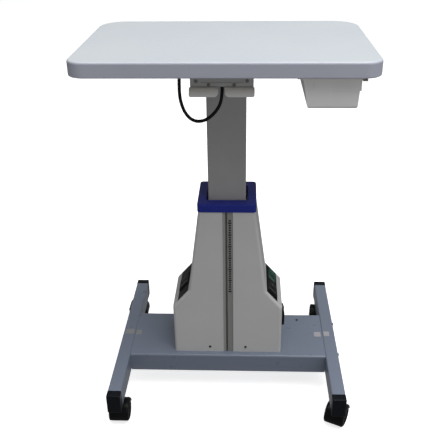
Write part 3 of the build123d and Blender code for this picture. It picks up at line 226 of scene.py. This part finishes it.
MATERIALS = {
    "top_laminate": tabletop_material(),
    "board": surface("fibreboard", (0.5, 0.4, 0.27), (0.8, 0.9), grain=400, mottle=0.12),
    "grey_paint": surface(
        "grey_powder_coat", (0.56, 0.57, 0.57), (0.42, 0.55), grain=700, grain_depth=0.00006
    ),
    "head_casting": surface(
        "cast_aluminium", (0.45, 0.45, 0.46), (0.5, 0.65), metallic=0.8, grain=350
    ),
    "zinc_steel": brushed("zinc_plated_steel", (0.62, 0.62, 0.60), "Z"),
    "dark_steel": surface(
        "black_oxide_steel", (0.055, 0.054, 0.052), (0.35, 0.5), metallic=0.7, grain=600
    ),
    "tray_plastic": surface(
        "grey_moulding", (0.80, 0.80, 0.795), (0.38, 0.5), grain=1200, mottle=0.03
    ),
    "cable_rubber": surface(
        "cable_jacket", (0.008, 0.008, 0.009), (0.40, 0.52), grain=1500, mottle=0.1, specular=0.15
    ),
    "column_paint": surface(
        "column_powder_coat", (0.385, 0.385, 0.382), (0.45, 0.58), grain=700, grain_depth=0.00006
    ),
    "nylon": surface("natural_nylon", (0.7, 0.69, 0.64), (0.45, 0.55)),
    "bronze": brushed("bronze", (0.55, 0.38, 0.18), "Z"),
    "screw_steel": brushed("rolled_thread_steel", (0.5, 0.5, 0.5), "X"),
    "gear_aluminium": surface("die_cast", (0.45, 0.45, 0.46), (0.5, 0.6), metallic=0.8, grain=400),
    "motor_paint": surface("motor_paint", (0.03, 0.03, 0.032), (0.4, 0.5)),
    "black_plastic": surface(
        "black_moulding", (0.010, 0.010, 0.011), (0.42, 0.55),
        grain=1100, mottle=0.12, specular=0.15,
    ),
    "board_green": surface("circuit_board", (0.02, 0.16, 0.06), (0.3, 0.45), grain=250, mottle=0.2),
    "transformer_core": surface(
        "laminations", (0.10, 0.085, 0.07), (0.4, 0.6), metallic=0.6, grain=250, mottle=0.2
    ),
    "collar_blue": surface(
        "blue_moulding", (0.014, 0.026, 0.26), (0.34, 0.46), grain=1200, mottle=0.05, specular=0.25
    ),
    "housing_grey": surface(
        "housing_moulding", (0.60, 0.598, 0.59), (0.42, 0.52),
        grain=1000, mottle=0.025, grain_depth=0.00005,
    ),
    "rocker_black": surface(
        "rocker_moulding", (0.006, 0.006, 0.007), (0.26, 0.36), grain=1500, specular=0.25
    ),
    "rocker_green": surface(
        "lit_green_lens", (0.003, 0.036, 0.025), (0.2, 0.3), coat=0.3, grain=300, mottle=0.3
    ),
    "brass_pins": brushed("plated_contacts", (0.62, 0.55, 0.38), "X"),
    "base_paint": surface(
        "blue_grey_powder_coat", (0.20, 0.232, 0.30), (0.27, 0.30),
        grain=650, grain_depth=0.000006, mottle=0.015, dust=0.01,
    ),
    "cap_plastic": surface(
        "cap_moulding", (0.006, 0.007, 0.010), (0.22, 0.30),
        grain=1000, mottle=0.1, dust=0.01, specular=0.15,
    ),
    "caster_plastic": surface(
        "caster_moulding", (0.006, 0.006, 0.007), (0.26, 0.36),
        grain=900, mottle=0.15, dust=0.01, specular=0.15,
    ),
    "wheel_plastic": surface(
        "tread", (0.007, 0.007, 0.007), (0.5, 0.65), grain=700, mottle=0.2, specular=0.15
    ),
}

# the band down the middle of the housing's front is a darker moulding with a dark joint in it,
# and is a little lighter left of the joint
tree = MATERIALS["housing_grey"].node_tree
shader = tree.nodes["Principled BSDF"]
place = tree.nodes.new("ShaderNodeTexCoord").outputs["Object"]
split = tree.nodes.new("ShaderNodeSeparateXYZ")
tree.links.new(place, split.inputs["Vector"])
painted = shader.inputs["Base Color"].links[0].from_socket
band = remap(tree, split.outputs["X"], -0.0112, -0.0102, 0.0, 1.0)
band_end = remap(tree, split.outputs["X"], 0.0137, 0.0147, 1.0, 0.0)
upright = tree.nodes.new("ShaderNodeMath")
upright.operation = "MULTIPLY_ADD"
tree.links.new(split.outputs["Z"], upright.inputs[0])
upright.inputs[1].default_value = -FRONT_LEAN
tree.links.new(split.outputs["Y"], upright.inputs[2])
front_level = FRONT_LOW - PLATE_TOP * FRONT_LEAN
behind = upright.outputs["Value"]
recess = remap(tree, behind, front_level + 0.0012, front_level + 0.0018, 0.0, 1.0)
recess_end = remap(tree, behind, front_level + 0.003, front_level + 0.004, 1.0, 0.0)
inside = band
for factor in (band_end, recess, recess_end):
    inside = times(tree, inside, factor)
near_joint = remap(tree, split.outputs["X"], -0.0050, -0.0036, 0.0, 1.0)
past_joint = remap(tree, split.outputs["X"], 0.0002, 0.0010, 0.0, 1.0)
band_tone = mix(tree, near_joint, (0.33, 0.33, 0.32), (0.11, 0.11, 0.105))
band_tone = mix(tree, past_joint, band_tone, (0.27, 0.27, 0.255))
tree.links.new(mix(tree, inside, painted, band_tone), shader.inputs["Base Color"])

glow = MATERIALS["rocker_green"].node_tree.nodes["Principled BSDF"]
glow.inputs["Emission Color"].default_value = (0.0, 0.55, 0.28, 1.0)
glow.inputs["Emission Strength"].default_value = 0.014

slot_of = {row["node"]: row["material_slot"] for row in frame["record"]["subparts"]}
for name, node in nodes.items():
    node.data.materials.clear()
    node.data.materials.append(MATERIALS[slot_of[name]])

# the bracket and the head plate with its lips are one grey paint in two copies: the bracket's
# darkened as painted shade under the tabletop, the head plate's lightened as painted light on the
# lips; the drawer's runners are dulled zinc
FINISH_AND_PAINTED_LIGHT = {
    # the grey paint darkened: painted shade under the tabletop
    "table_bracket": surface(
        "bracket_powder_coat_painted_shade", (0.44, 0.455, 0.455), (0.42, 0.55), grain=700, grain_depth=0.00006
    ),
    # the same grey paint lightened: painted light on the lips
    "column_head_plate": surface(
        "head_plate_powder_coat_painted_light", (0.83, 0.84, 0.85), (0.42, 0.55), grain=700, grain_depth=0.00006
    ),
    "drawer_rail_left": surface(
        "runner_zinc", (0.52, 0.52, 0.51), (0.35, 0.5), metallic=0.25, grain=700
    ),
}
FINISH_AND_PAINTED_LIGHT["drawer_rail_right"] = FINISH_AND_PAINTED_LIGHT["drawer_rail_left"]
for name, finish in FINISH_AND_PAINTED_LIGHT.items():
    nodes[name].data.materials[0] = finish


# ------------------------------------------------------------------ piece building
SMOOTH_ANGLE = radians(35)


def finish_mesh(name, mesh_edit, body, slot, material=None):
    """Turns a bmesh in the model's frame into a piece that rides on a body."""
    bmesh.ops.recalc_face_normals(mesh_edit, faces=mesh_edit.faces)
    mesh = bpy.data.meshes.new(name)
    mesh_edit.to_mesh(mesh)
    mesh_edit.free()
    for polygon in mesh.polygons:
        polygon.use_smooth = True
    mesh.set_sharp_from_angle(angle=SMOOTH_ANGLE)
    piece = bpy.data.objects.new(name, mesh)
    bpy.context.scene.collection.objects.link(piece)
    mesh.materials.append(material or MATERIALS[slot])
    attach(piece, body)
    return piece


def turned(mesh_edit, profile, place, segments):
    """Adds a body of revolution of (radius, height) pairs about a placement's z."""
    rings = []
    for radius, height in profile:
        if radius < 1e-7:
            rings.append([mesh_edit.verts.new(place @ Vector((0, 0, height)))])
            continue
        ring = []
        for step in range(segments):
            turn = 2 * pi * step / segments
            spot = Vector((radius * cos(turn), radius * sin(turn), height))
            ring.append(mesh_edit.verts.new(place @ spot))
        rings.append(ring)
    for lower, upper in zip(rings, rings[1:]):
        for step in range(segments):
            after = (step + 1) % segments
            if len(lower) == 1:
                mesh_edit.faces.new((lower[0], upper[step], upper[after]))
            elif len(upper) == 1:
                mesh_edit.faces.new((lower[step], lower[after], upper[0]))
            else:
                mesh_edit.faces.new((lower[step], lower[after], upper[after], upper[step]))
    return rings


def prism(mesh_edit, outline, place, low, high, bevel=0.0):
    """Adds a straight prism over an outline of (x, y) points, its upper rim drawn in by bevel."""
    count = len(outline)
    centre = Vector((sum(x for x, y in outline) / count, sum(y for x, y in outline) / count))
    levels = [(low, 0.0), (high, 0.0)]
    if bevel:
        levels = [(low, 0.0), (high - bevel, 0.0), (high, bevel)]
    rings = []
    for level, draw in levels:
        ring = []
        for x, y in outline:
            out = Vector((x, y)) - centre
            moved = centre + out * (1 - draw / max(out.length, 1e-6))
            ring.append(mesh_edit.verts.new(place @ Vector((moved.x, moved.y, level))))
        rings.append(ring)
    for lower, upper in zip(rings, rings[1:]):
        for step in range(count):
            after = (step + 1) % count
            mesh_edit.faces.new((lower[step], lower[after], upper[after], upper[step]))
    mesh_edit.faces.new(list(reversed(rings[0])))
    mesh_edit.faces.new(rings[-1])


def placement(origin, z_dir, x_dir=(1, 0, 0)):
    """4x4 placement with its z along z_dir and its x as near to x_dir as that leaves."""
    z_axis = Vector(z_dir).normalized()
    x_axis = Vector(x_dir)
    x_axis = (x_axis - z_axis * x_axis.dot(z_axis)).normalized()
    y_axis = z_axis.cross(x_axis)
    matrix = Matrix((x_axis, y_axis, z_axis)).transposed().to_4x4()
    matrix.translation = Vector(origin)
    return matrix


def rounded_rectangle(width, height, radius, steps):
    points = []
    for corner, (side_x, side_y) in enumerate(((1, 1), (-1, 1), (-1, -1), (1, -1))):
        for step in range(steps + 1):
            turn = radians(90 * corner + 90 * step / steps)
            x = side_x * (width / 2 - radius) + radius * cos(turn)
            y = side_y * (height / 2 - radius) + radius * sin(turn)
            points.append((x, y))
    return points


def pan_head(mesh_edit, place, radius, height, shank, reach):
    """Pan-head screw with a cross recess; the head stands on z = 0 and the shank goes below."""
    arms = 0.56 * radius
    half = 0.13 * radius
    depth = 0.5 * height
    segments = 32
    profile = [(0, -reach), (shank, -reach), (shank, 0), (radius * 0.97, 0)]
    profile += [(radius, 0.25 * height), (radius * 0.93, 0.6 * height)]
    profile += [(radius * 0.8, 0.86 * height), (radius * 0.66, 0.97 * height)]
    crown = turned(mesh_edit, profile, place, segments)[-1]
    # the cross recess, cut into a flat crown
    cross = [
        (arms, -half), (arms, half), (half, half), (half, arms), (-half, arms), (-half, half),
        (-arms, half), (-arms, -half), (-half, -half), (-half, -arms), (half, -arms), (half, -half),
    ]
    rim = [mesh_edit.verts.new(place @ Vector((x, y, height))) for x, y in cross]
    level = height - depth
    floor = [mesh_edit.verts.new(place @ Vector((0.7 * x, 0.7 * y, level))) for x, y in cross]
    count = len(cross)
    for step in range(count):
        after = (step + 1) % count
        mesh_edit.faces.new((rim[step], rim[after], floor[after], floor[step]))
    mesh_edit.faces.new(floor)
    # the crown round the cross, in one face for each corner of the cross
    angles = [atan2(y, x) % (2 * pi) for x, y in cross]
    order = sorted(range(count), key=lambda index: angles[index])
    for position, index in enumerate(order):
        following = order[(position + 1) % count]
        start = angles[index]
        end = angles[following] if position + 1 < count else angles[following] + 2 * pi
        arc = [
            crown[step % segments]
            for step in range(segments * 2)
            if start <= 2 * pi * step / segments < end
        ]
        last = crown[int(-(-end * segments // (2 * pi))) % segments]
        first = arc + [last] if arc and arc[-1] is not last else arc or [last]
        mesh_edit.faces.new([rim[index]] + first + [rim[following]])


def hex_bolt(mesh_edit, place, half_flats, height, shank, reach):
    """Hexagon head with a chamfered crown and a plain shank below z = 0."""
    corner = half_flats / cos(pi / 6)
    outline = [(corner * cos(pi / 3 * k), corner * sin(pi / 3 * k)) for k in range(6)]
    prism(mesh_edit, outline, place, 0.0, height, 0.0011)
    pin = [(0, -reach), (shank * 0.85, -reach), (shank, -reach + 0.0008), (shank, 0.0), (0, 0.0)]
    turned(mesh_edit, pin, place, 24)


# ------------------------------------------------------------------ screws and bolts
BRACKET_SCREW = {"radius": 0.0037, "height": 0.0023, "shank": 0.0025, "reach": 0.022}
HOUSING_SCREW = {"radius": 0.0032, "height": 0.0018, "shank": 0.002, "reach": 0.009}
PLATE_SCREW = {"radius": 0.0032, "height": 0.0018, "shank": 0.002, "reach": 0.003}
FRAME_BOLT = {"half_flats": 0.0065, "height": 0.0053, "shank": 0.004, "reach": 0.015}
BRACKET_SCREW_PLACES = ((-0.0596, 0.8155), (0.045, 0.816), (-0.0339, 0.808), (0.0185, 0.808))

screw_finish = surface(
    "small_screw_steel", (0.22, 0.22, 0.215), (0.3, 0.45), metallic=0.35, grain=700
)
work = bmesh.new()
for x, z in BRACKET_SCREW_PLACES:
    for y, outwards in ((BRACKET_FRONT, -1), (BRACKET_BACK, 1)):
        place = placement((x, y, z), (0, outwards, 0), (0.94, 0, 0.34))
        pan_head(work, place, **BRACKET_SCREW)
bracket_screws = finish_mesh("bracket_screw_set", work, "lift", "dark_steel", screw_finish)
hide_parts("bracket_screws")

work = bmesh.new()
for x in (-0.045, 0.045):
    for low, lean, outwards in ((FRONT_LOW, FRONT_LEAN, -1), (BACK_LOW, BACK_LEAN, 1)):
        spot = (x, low + 0.015 * lean, 0.125)
        place = placement(spot, (0, outwards, -outwards * lean), (0.9, 0, 0.43))
        pan_head(work, place, **HOUSING_SCREW)
place = placement((0.1846, 0.06, PLATE_TOP), (0, 0, 1), (0.8, 0.6, 0))
pan_head(work, place, **PLATE_SCREW)
pan_screws = finish_mesh("pan_screw_set", work, "base", "dark_steel")
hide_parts("pan_screws")

work = bmesh.new()
for side in (-1, 1):
    for y in (-0.0665, 0.0595):
        place = placement((side * PLATE_END, y, 0.095), (-side, 0, 0), (0, 0.9, 0.43))
        hex_bolt(work, place, **FRAME_BOLT)
for x in (-0.062, 0.062):
    for y in (MAST_Y - 0.03, MAST_Y + 0.03):
        hex_bolt(work, placement((x, y, 0.116), (0, 0, 1)), **FRAME_BOLT)
frame_bolts = finish_mesh("frame_bolt_set", work, "base", "dark_steel")
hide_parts("frame_bolts")

# two domed bolt ends on the outer side of the right beam, each on a washer
BOLT_END = [(0.0, -0.0002), (0.0068, -0.0002), (0.0068, 0.0008), (0.0046, 0.0010)]
BOLT_END += [(0.0044, 0.0036), (0.0030, 0.0048), (0.0, 0.0052)]
work = bmesh.new()
for y in (-0.0675, 0.062):
    place = placement((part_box("right_beam")[1][0], y, 0.096), (1, 0, 0), (0, 1, 0))
    turned(work, BOLT_END, place, 32)
finish_mesh("right_beam_bolt_ends", work, "base", "base_paint")

# ------------------------------------------------------------------ the instrument cable
CABLE_ROUTE = [
    (-0.0915, -0.106, 0.841),
    (-0.0935, -0.106, 0.809),
    (-0.0923, -0.1058, 0.778),
    (-0.083, -0.105, 0.750),
    (-0.066, -0.104, 0.733),
    (-0.042, -0.102, 0.7335),
    (-0.019, -0.0985, 0.752),
    (-0.006, -0.0935, 0.778),
    (-0.0065, -0.086, 0.808),
]
curve = bpy.data.curves.new("instrument_cable_line", "CURVE")
curve.dimensions = "3D"
spline = curve.splines.new("NURBS")
spline.points.add(len(CABLE_ROUTE) - 1)
for point, place in zip(spline.points, CABLE_ROUTE):
    point.co = (*place, 1.0)
spline.order_u = 3
spline.use_endpoint_u = True
spline.resolution_u = 24
curve.bevel_depth = CABLE_DIAMETER / 2
curve.bevel_resolution = 6
curve.use_fill_caps = True
cable = bpy.data.objects.new("instrument_cable_run", curve)
bpy.context.scene.collection.objects.link(cable)
curve.materials.append(MATERIALS["cable_rubber"])
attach(cable, "lift")
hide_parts("instrument_cable")

# strain reliefs at both ends of the cable: one ribbed and tapered under the top, one in the notch
GLAND_HEIGHT = 0.008
work = bmesh.new()
gland = [(0.0, 0.0), (0.0039, 0.0)]
for rib in range(3):
    base = 0.0002 + rib * 0.0022
    swell = 0.0005 * rib
    gland += [(0.0045 + swell, base), (0.0049 + swell, base + 0.0004)]
    gland += [(0.0049 + swell, base + 0.0012), (0.0043 + swell, base + 0.0016)]
    gland += [(0.0043 + swell, base + 0.0020)]
gland += [(0.0068, 0.0068), (0.0068, GLAND_HEIGHT), (0.0, GLAND_HEIGHT)]
gland_x, gland_y = CABLE_ROUTE[0][:2]
turned(work, gland, placement((gland_x, gland_y, UNDERSIDE_Z - GLAND_HEIGHT), (0, 0, 1)), 36)
relief = [(0.0, 0.0), (0.0039, 0.0), (0.0052, 0.0004), (0.0060, 0.0012), (0.0060, 0.0019)]
relief += [(0.0054, 0.0021), (0.0054, 0.0059), (0.0060, 0.0061), (0.0060, 0.0072)]
relief += [(0.0053, 0.0078), (0.0051, 0.0116), (0.0045, 0.012), (0.0, 0.012)]
turned(work, relief, placement(CABLE_ROUTE[-1], (0, 0, 1)), 36)
grommets = finish_mesh("cable_strain_reliefs", work, "lift", "cable_rubber")
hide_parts("cable_grommets")

# ------------------------------------------------------------------ rocker caps
SHOULDER_TILT = atan2(0.0404, 0.048)
PIVOT_X, PIVOT_Y, PIVOT_Z = 0.107437, -0.004, 0.271089
CAP_HALF_LENGTH = 0.021
CAP_HALF_WIDTH = 0.0133
CAP_STEPS, CAP_ROWS = 24, 10
SKIRT_TOP, SKIRT_LOW = 0.0035, -0.003
SIGN_DISTANCE = 0.0135


def shoulder_place(side, along):
    """Placement at a pivot on the left (-1) or right (+1) shoulder: x to the back, z outwards."""
    normal = Vector((side * cos(SHOULDER_TILT), 0, sin(SHOULDER_TILT)))
    return placement((side * PIVOT_X, PIVOT_Y + along, PIVOT_Z), normal, (0, 1, 0))


def crest(x):
    """Height of the cap's dished top above its pivot."""
    return 0.0058 + 0.0022 * (x / CAP_HALF_LENGTH) ** 2


def skirt_foot(x):
    """Lower edge of the cap's side: lowest round the pivot, level with the ends' edge past it."""
    if abs(x) > CAP_HALF_LENGTH - 1e-5:
        return SKIRT_TOP
    return min(SKIRT_TOP, SKIRT_LOW + 0.0065 * max(0.0, abs(x) - 0.007) / 0.014)


def rocker_cap(name, side, along, tilt, slot, signs, sign_material):
    """Curved rocker cap with rolled edges, grip ribs and one sign at each end."""
    place = shoulder_place(side, along) @ Matrix.Rotation(radians(tilt), 4, "Y")
    work = bmesh.new()
    grid = []
    for step in range(CAP_STEPS + 1):
        x = -CAP_HALF_LENGTH + 2 * CAP_HALF_LENGTH * step / CAP_STEPS
        line = []
        for row in range(CAP_ROWS + 1):
            y = -CAP_HALF_WIDTH + 2 * CAP_HALF_WIDTH * row / CAP_ROWS
            edge = min(CAP_HALF_WIDTH - abs(y), CAP_HALF_LENGTH - abs(x))
            drop = 0.0009 * max(0.0, 1 - edge / 0.0014) ** 2
            line.append(work.verts.new(place @ Vector((x, y, crest(x) - drop))))
        grid.append(line)
    for line, after in zip(grid, grid[1:]):
        for row in range(CAP_ROWS):
            work.faces.new((line[row], after[row], after[row + 1], line[row + 1]))
    rim = [line[0] for line in grid] + grid[-1][1:]
    rim += [line[-1] for line in grid[-2::-1]] + grid[0][-2:0:-1]
    inverse = place.inverted()
    skirt = []
    for vert in rim:
        local = inverse @ vert.co
        skirt.append(work.verts.new(place @ Vector((local.x, local.y, skirt_foot(local.x)))))
    count = len(rim)
    for step in range(count):
        after = (step + 1) % count
        work.faces.new((rim[step], rim[after], skirt[after], skirt[step]))
    # pivot pins, then grip ribs across the middle
    for end in (-1, 1):
        spot = place @ Matrix.Translation((0, end * 0.0134, 0))
        spot = spot @ Matrix.Rotation(radians(-90 * end), 4, "X")
        turned(work, [(0.0016, 0.0), (0.0016, 0.0012), (0.0, 0.0012)], spot, 16)
    for rib in range(-3, 4):
        x = rib * 0.0022
        bar = rounded_rectangle(0.0009, 0.020, 0.0004, 3)
        prism(work, bar, place @ Matrix.Translation((x, 0, crest(x) - 0.0004)), 0.0, 0.0008, 0.0002)
    cap = finish_mesh(name + "_cap", work, name, slot)
    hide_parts(name)
    work = bmesh.new()
    for end, sign in zip((-1, 1), signs):
        x = end * SIGN_DISTANCE
        slope = atan2(0.0044 * x / CAP_HALF_LENGTH**2, 1)
        spot = place @ Matrix.Translation((x, 0, crest(x))) @ Matrix.Rotation(-slope, 4, "Y")
        for outline in sign(end):
            prism(work, outline, spot, -0.0004, 0.00025)
    finish_mesh(name + "_signs", work, name, slot, material=sign_material)


def arrow_sign(end):
    return [[(end * 0.0036, 0.0), (-end * 0.0022, 0.0042), (-end * 0.0022, -0.0042)]]


def bar_sign(end):
    return [rounded_rectangle(0.0066, 0.0011, 0.0004, 2)]


def ring_sign(end):
    count = 24
    inner, outer = 0.0024, 0.0034
    pieces = []
    for step in range(count):
        a, b = 2 * pi * step / count, 2 * pi * (step + 1) / count
        corners = ((inner, a), (outer, a), (outer, b), (inner, b))
        pieces.append([(radius * cos(turn), radius * sin(turn)) for radius, turn in corners])
    return pieces


sign_paint = surface("printed_grey", (0.07, 0.07, 0.07), (0.45, 0.55), grain=900, mottle=0.08)
lit_sign = surface("lit_sign", (0.05, 0.22, 0.15), (0.3, 0.4), grain=900, mottle=0.08)
ARROWS = (arrow_sign, arrow_sign)
# the right shoulder has two rockers, in front of and behind the place of the left one's pivot
OFFSET = 0.028
rocker_cap("left_lift_rocker", -1, 0.0, 0, "rocker_black", ARROWS, sign_paint)
rocker_cap("right_lift_rocker", 1, -OFFSET, 0, "rocker_black", ARROWS, sign_paint)
rocker_cap("power_rocker", 1, OFFSET, -7, "rocker_green", (bar_sign, ring_sign), lit_sign)

# ------------------------------------------------------------------ printed marks and blank labels
scale_ink = surface("printed_scale", (0.012, 0.012, 0.012), (0.5, 0.6), grain=900, mottle=0.15)
MARK_X, MARK_LOWEST, MARK_STEP, MARK_COUNT = 0.0066, 0.2895, 0.0062, 32
BAND_DEPTH = 0.002
work = bmesh.new()
for index in range(MARK_COUNT):
    wide = 0.0076 if index % 5 == 0 else 0.0054
    bar = rounded_rectangle(wide, 0.0042, 0.0006, 2)
    place = on_front(MARK_X, MARK_LOWEST + index * MARK_STEP, BAND_DEPTH)
    prism(work, bar, place, -0.0002, 0.00015)
finish_mesh("height_scale_marks", work, "base", "housing_grey", material=scale_ink)

# blank films: left and right edge and height of each
LABELS = (
    (
        "left_labels", (0.31, 0.31, 0.31),
        ((-0.275, -0.2515, BEAM_TOP), (-0.2465, -0.232, PLATE_TOP)),
    ),
    (
        "right_labels", (0.44, 0.42, 0.45),
        ((0.226, 0.2435, PLATE_TOP), (0.2515, 0.266, BEAM_TOP)),
    ),
)
for name, tone, films in LABELS:
    work = bmesh.new()
    for low_x, high_x, height in films:
        film = rounded_rectangle(high_x - low_x, 0.019, 0.0015, 4)
        place = placement(((low_x + high_x) / 2, -0.002, height), (0, 0, 1))
        prism(work, film, place, -0.0001, 0.00018)
    film_material = surface(name + "_film", tone, (0.3, 0.4), grain=500, mottle=0.08)
    finish_mesh(name, work, "base", "base_paint", material=film_material)


# ------------------------------------------------------------------ floor, light and camera
def surround(name, mesh_edit, greys, patch_scale, rough, specular, glow):
    """White surface round the table that neither lights it nor shows in its reflections."""
    material, tree, shader, coords = new_material(name)
    cloudy = remap(tree, noise(tree, coords, patch_scale), 0.3, 0.7, 0.0, 1.0)
    darker, lighter = ((grey, grey, grey) for grey in greys)
    tree.links.new(mix(tree, cloudy, darker, lighter), shader.inputs["Base Color"])
    shader.inputs["Roughness"].default_value = rough
    shader.inputs["Specular IOR Level"].default_value = specular
    shader.inputs["Emission Color"].default_value = (1.0, 1.0, 1.0, 1.0)
    shader.inputs["Emission Strength"].default_value = glow
    mesh = bpy.data.meshes.new(name)
    mesh_edit.to_mesh(mesh)
    mesh_edit.free()
    mesh.materials.append(material)
    built = bpy.data.objects.new(name, mesh)
    bpy.context.scene.collection.objects.link(built)
    built.visible_diffuse = False
    built.visible_glossy = False
    return built


work = bmesh.new()
bmesh.ops.create_grid(work, x_segments=2, y_segments=2, size=16.0)
floor = surround("studio_floor", work, (0.87, 0.89), 2.0, 0.9, 0.1, 0.74)
work = bmesh.new()
bmesh.ops.create_icosphere(work, subdivisions=5, radius=15.0)
backdrop = surround("studio_backdrop", work, (0.0, 0.004), 0.3, 0.5, 0.0, 0.97)
backdrop.visible_shadow = False

world = bpy.data.worlds.new("studio")
bpy.context.scene.world = world
world.use_nodes = True
sky = world.node_tree.nodes["Background"]
sky.inputs["Color"].default_value = (0.97, 0.98, 1.0, 1.0)
sky.inputs["Strength"].default_value = 0.23


def area_light(name, place, target, size, power):
    light = bpy.data.lights.new(name, "AREA")
    light.shape = "RECTANGLE"
    light.size, light.size_y = size
    light.energy = power
    lamp = bpy.data.objects.new(name, light)
    lamp.location = place
    lamp.rotation_euler = (Vector(target) - Vector(place)).to_track_quat("-Z", "Y").to_euler()
    bpy.context.scene.collection.objects.link(lamp)


area_light("overhead", (0.75, -0.6, 4.1), (0.1, 0.0, 0.3), (3.4, 3.4), 158)
area_light("front_fill", (1.3, -2.0, 1.1), (0, 0, 0.6), (1.4, 1.0), 5.5)

# camera in front of the table and above its top; sensor and focal length in millimetres
CAMERA_PLACE = Vector((0.0457, -1.4048, 1.1794))
PITCH, YAW, ROLL = radians(27.83), radians(2.24), radians(-0.62)
SENSOR_WIDTH = 36
FOCAL_LENGTH = 52.5535714
forward = Vector((-sin(YAW) * cos(PITCH), cos(YAW) * cos(PITCH), -sin(PITCH)))
right = Vector((cos(YAW), sin(YAW), 0))
up = right.cross(forward)
right_rolled = cos(ROLL) * right + sin(ROLL) * up
up_rolled = -sin(ROLL) * right + cos(ROLL) * up
camera_data = bpy.data.cameras.new("view")
camera_data.sensor_width = SENSOR_WIDTH
camera_data.lens = FOCAL_LENGTH
camera = bpy.data.objects.new("view", camera_data)
turn = Matrix((right_rolled, up_rolled, -forward)).transposed().to_4x4()
turn.translation = CAMERA_PLACE
camera.matrix_world = turn
bpy.context.scene.collection.objects.link(camera)
bpy.context.scene.camera = camera
bpy.context.scene.view_settings.view_transform = "Standard"
